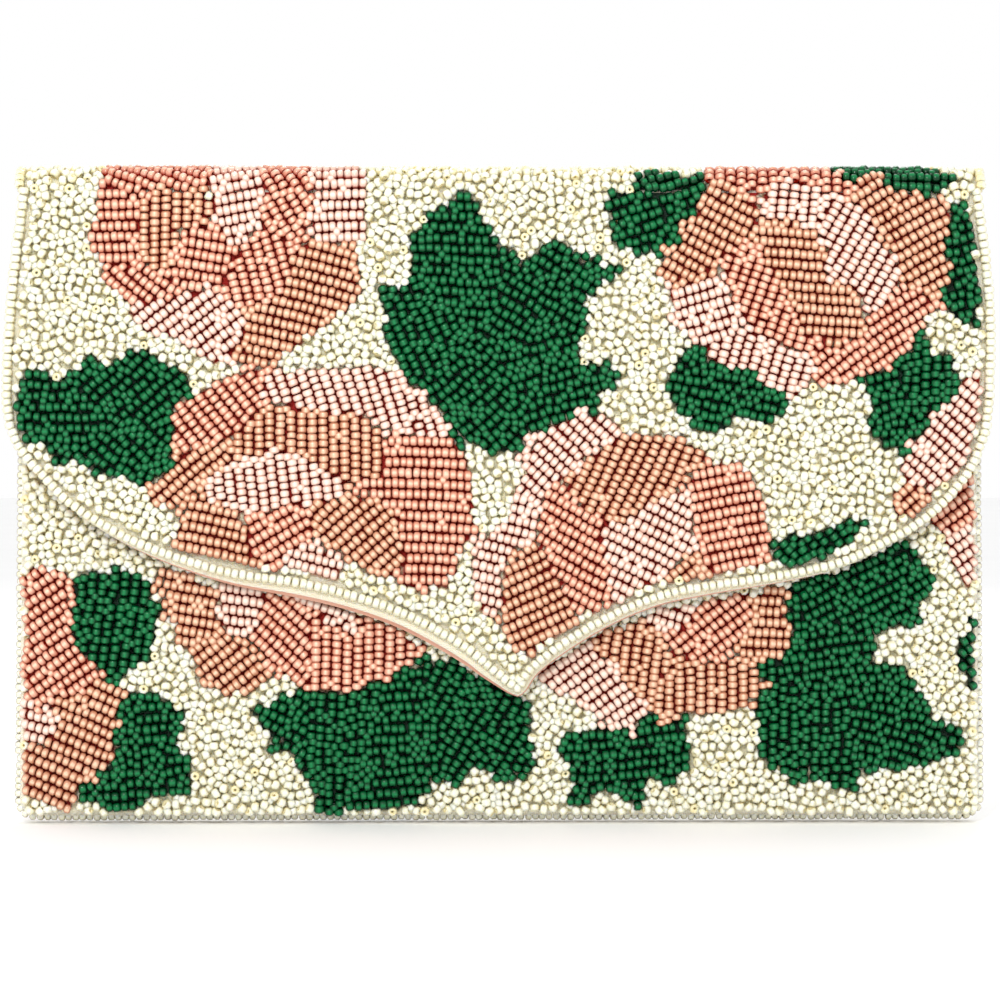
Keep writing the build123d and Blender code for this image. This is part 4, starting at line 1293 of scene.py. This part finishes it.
def make_bead_fields():
    """Every bead of the flap, folds, spine and back, and of the front panel."""
    beads = field_beads(WRAP, in_wrap, (-FIELD_HALF, FLAP_LOW), (FIELD_HALF, S_END))
    stretches = (("flap_beads", flap_point, 0, S_FOLD, ON_FLAP, "flap_bead_field"),
                 ("front_fold_beads", flap_point, S_FOLD, S_SPINE, OVER_FRONT_FOLD, None),
                 ("spine_beads", spine_point, S_SPINE, S_BACK, ON_SPINE, "spine_bead_field"),
                 ("back_fold_beads", back_point, S_BACK, S_DOWN, OVER_BACK_FOLD, None),
                 ("back_beads", back_point, S_DOWN, S_END, ON_POUCH, "back_bead_field"))
    for name, surface, low, high, mount, node in stretches:
        part = beads[(beads[:, 1] > low) & (beads[:, 1] <= high)]
        made = sew(name, surface, part, mount)
        if node:
            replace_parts(made[0], node)
    beads = field_beads(PANEL, in_panel, (-FIELD_HALF, PANEL_LOW), (FIELD_HALF, MOUTH_Z))
    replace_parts(sew("front_beads", front_point, beads, ON_POUCH)[0], "front_bead_field")

# ---------------------------------------------------------------- CAD parts that stay, and the studio


def paint_metal():
    """Finishes for the snap's metal parts, which are shown as they are in the frame."""
    paints = {"snap_socket_cup": SNAP_METAL, "snap_socket_prongs": WASHER, "snap_socket_magnet": MAGNET,
              "snap_socket_washer": WASHER, "snap_stud_post": SNAP_METAL, "snap_stud_prongs": WASHER,
              "snap_stud_washer": WASHER}
    for node, paint in paints.items():
        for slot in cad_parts[node].material_slots:
            slot.material = paint


LIT_PLACE = (0, 0, 0.08)
FLOOR_HALF, FLOOR_Z = 6000, -0.6

def area_light(name, place, size, power):
    """A round light aimed at the middle of the purse."""
    light = bpy.data.lights.new(name, "AREA")
    light.shape = "DISK"
    light.size = size
    light.energy = power
    lamp = bpy.data.objects.new(name, light)
    bpy.context.scene.collection.objects.link(lamp)
    lamp.location = place
    track(lamp, LIT_PLACE)

def track(thing, aim):
    """Turns a light or camera towards a point."""
    thing.rotation_euler = (Vector(aim) - thing.location).to_track_quat("-Z", "Y").to_euler()

def make_floor():
    """A wide, pale, gently clouded floor just under the purse."""
    made, nodes, links, shader = material("floor_paint", 0.7)
    cloud = object_noise(nodes, links, 6, 3)
    pale = colour_mix(nodes, links, cloud, srgb(246, 246, 246), srgb(252, 252, 252))
    links.new(pale, shader.inputs["Base Color"])
    half = FLOOR_HALF
    corners = np.array([(-half, -half, 0), (half, -half, 0), (half, half, 0), (-half, half, 0)])
    piece = new_mesh("floor", corners + np.array([0, 0, FLOOR_Z]), np.array([[0, 1, 2, 3]]), [made])

def make_studio():
    """A pale floor, even white light all round, a light in front, a softer one behind, and the camera."""
    make_floor()
    world = bpy.data.worlds.new("studio")
    bpy.context.scene.world = world
    world.use_nodes = True
    background = world.node_tree.nodes["Background"].inputs
    background["Color"].default_value = WHITE
    background["Strength"].default_value = 1.0
    area_light("key", (-0.2, -0.95, 0.6), 0.2, 6)
    area_light("back", (0.1, 0.9, 0.9), 0.6, 3)
    bpy.context.scene.view_settings.view_transform = "Standard"
    make_camera()

VIEW_WIDTH = 0.2442
VIEW_CENTRE_X = -0.0002
VIEW_CENTRE_Z = 0.0793
LENS = 130
SENSOR = 36
VIEW_TURN = math.radians(-0.8)
VIEW_RISE = math.radians(0.8)


def make_camera():
    """A camera square to the flap, a little to the left, framed as wide as the purse."""
    lens = bpy.data.cameras.new("camera")
    lens.lens = LENS
    lens.sensor_width = SENSOR
    camera = bpy.data.objects.new("camera", lens)
    bpy.context.scene.collection.objects.link(camera)
    away = VIEW_WIDTH / SENSOR * LENS
    aim = (VIEW_CENTRE_X, FLAP_CLOTH_Y * MM, VIEW_CENTRE_Z)
    camera.location = (aim[0] + away * math.sin(VIEW_TURN), aim[1] - away * math.cos(VIEW_TURN),
                       aim[2] + away * math.sin(VIEW_RISE))
    track(camera, aim)
    bpy.context.scene.camera = camera


make_flap_layers()
make_fold_and_spine()
make_pouch_layers()
make_pocket()
make_binding()
make_strands()
make_bead_fields()
paint_metal()
make_studio()
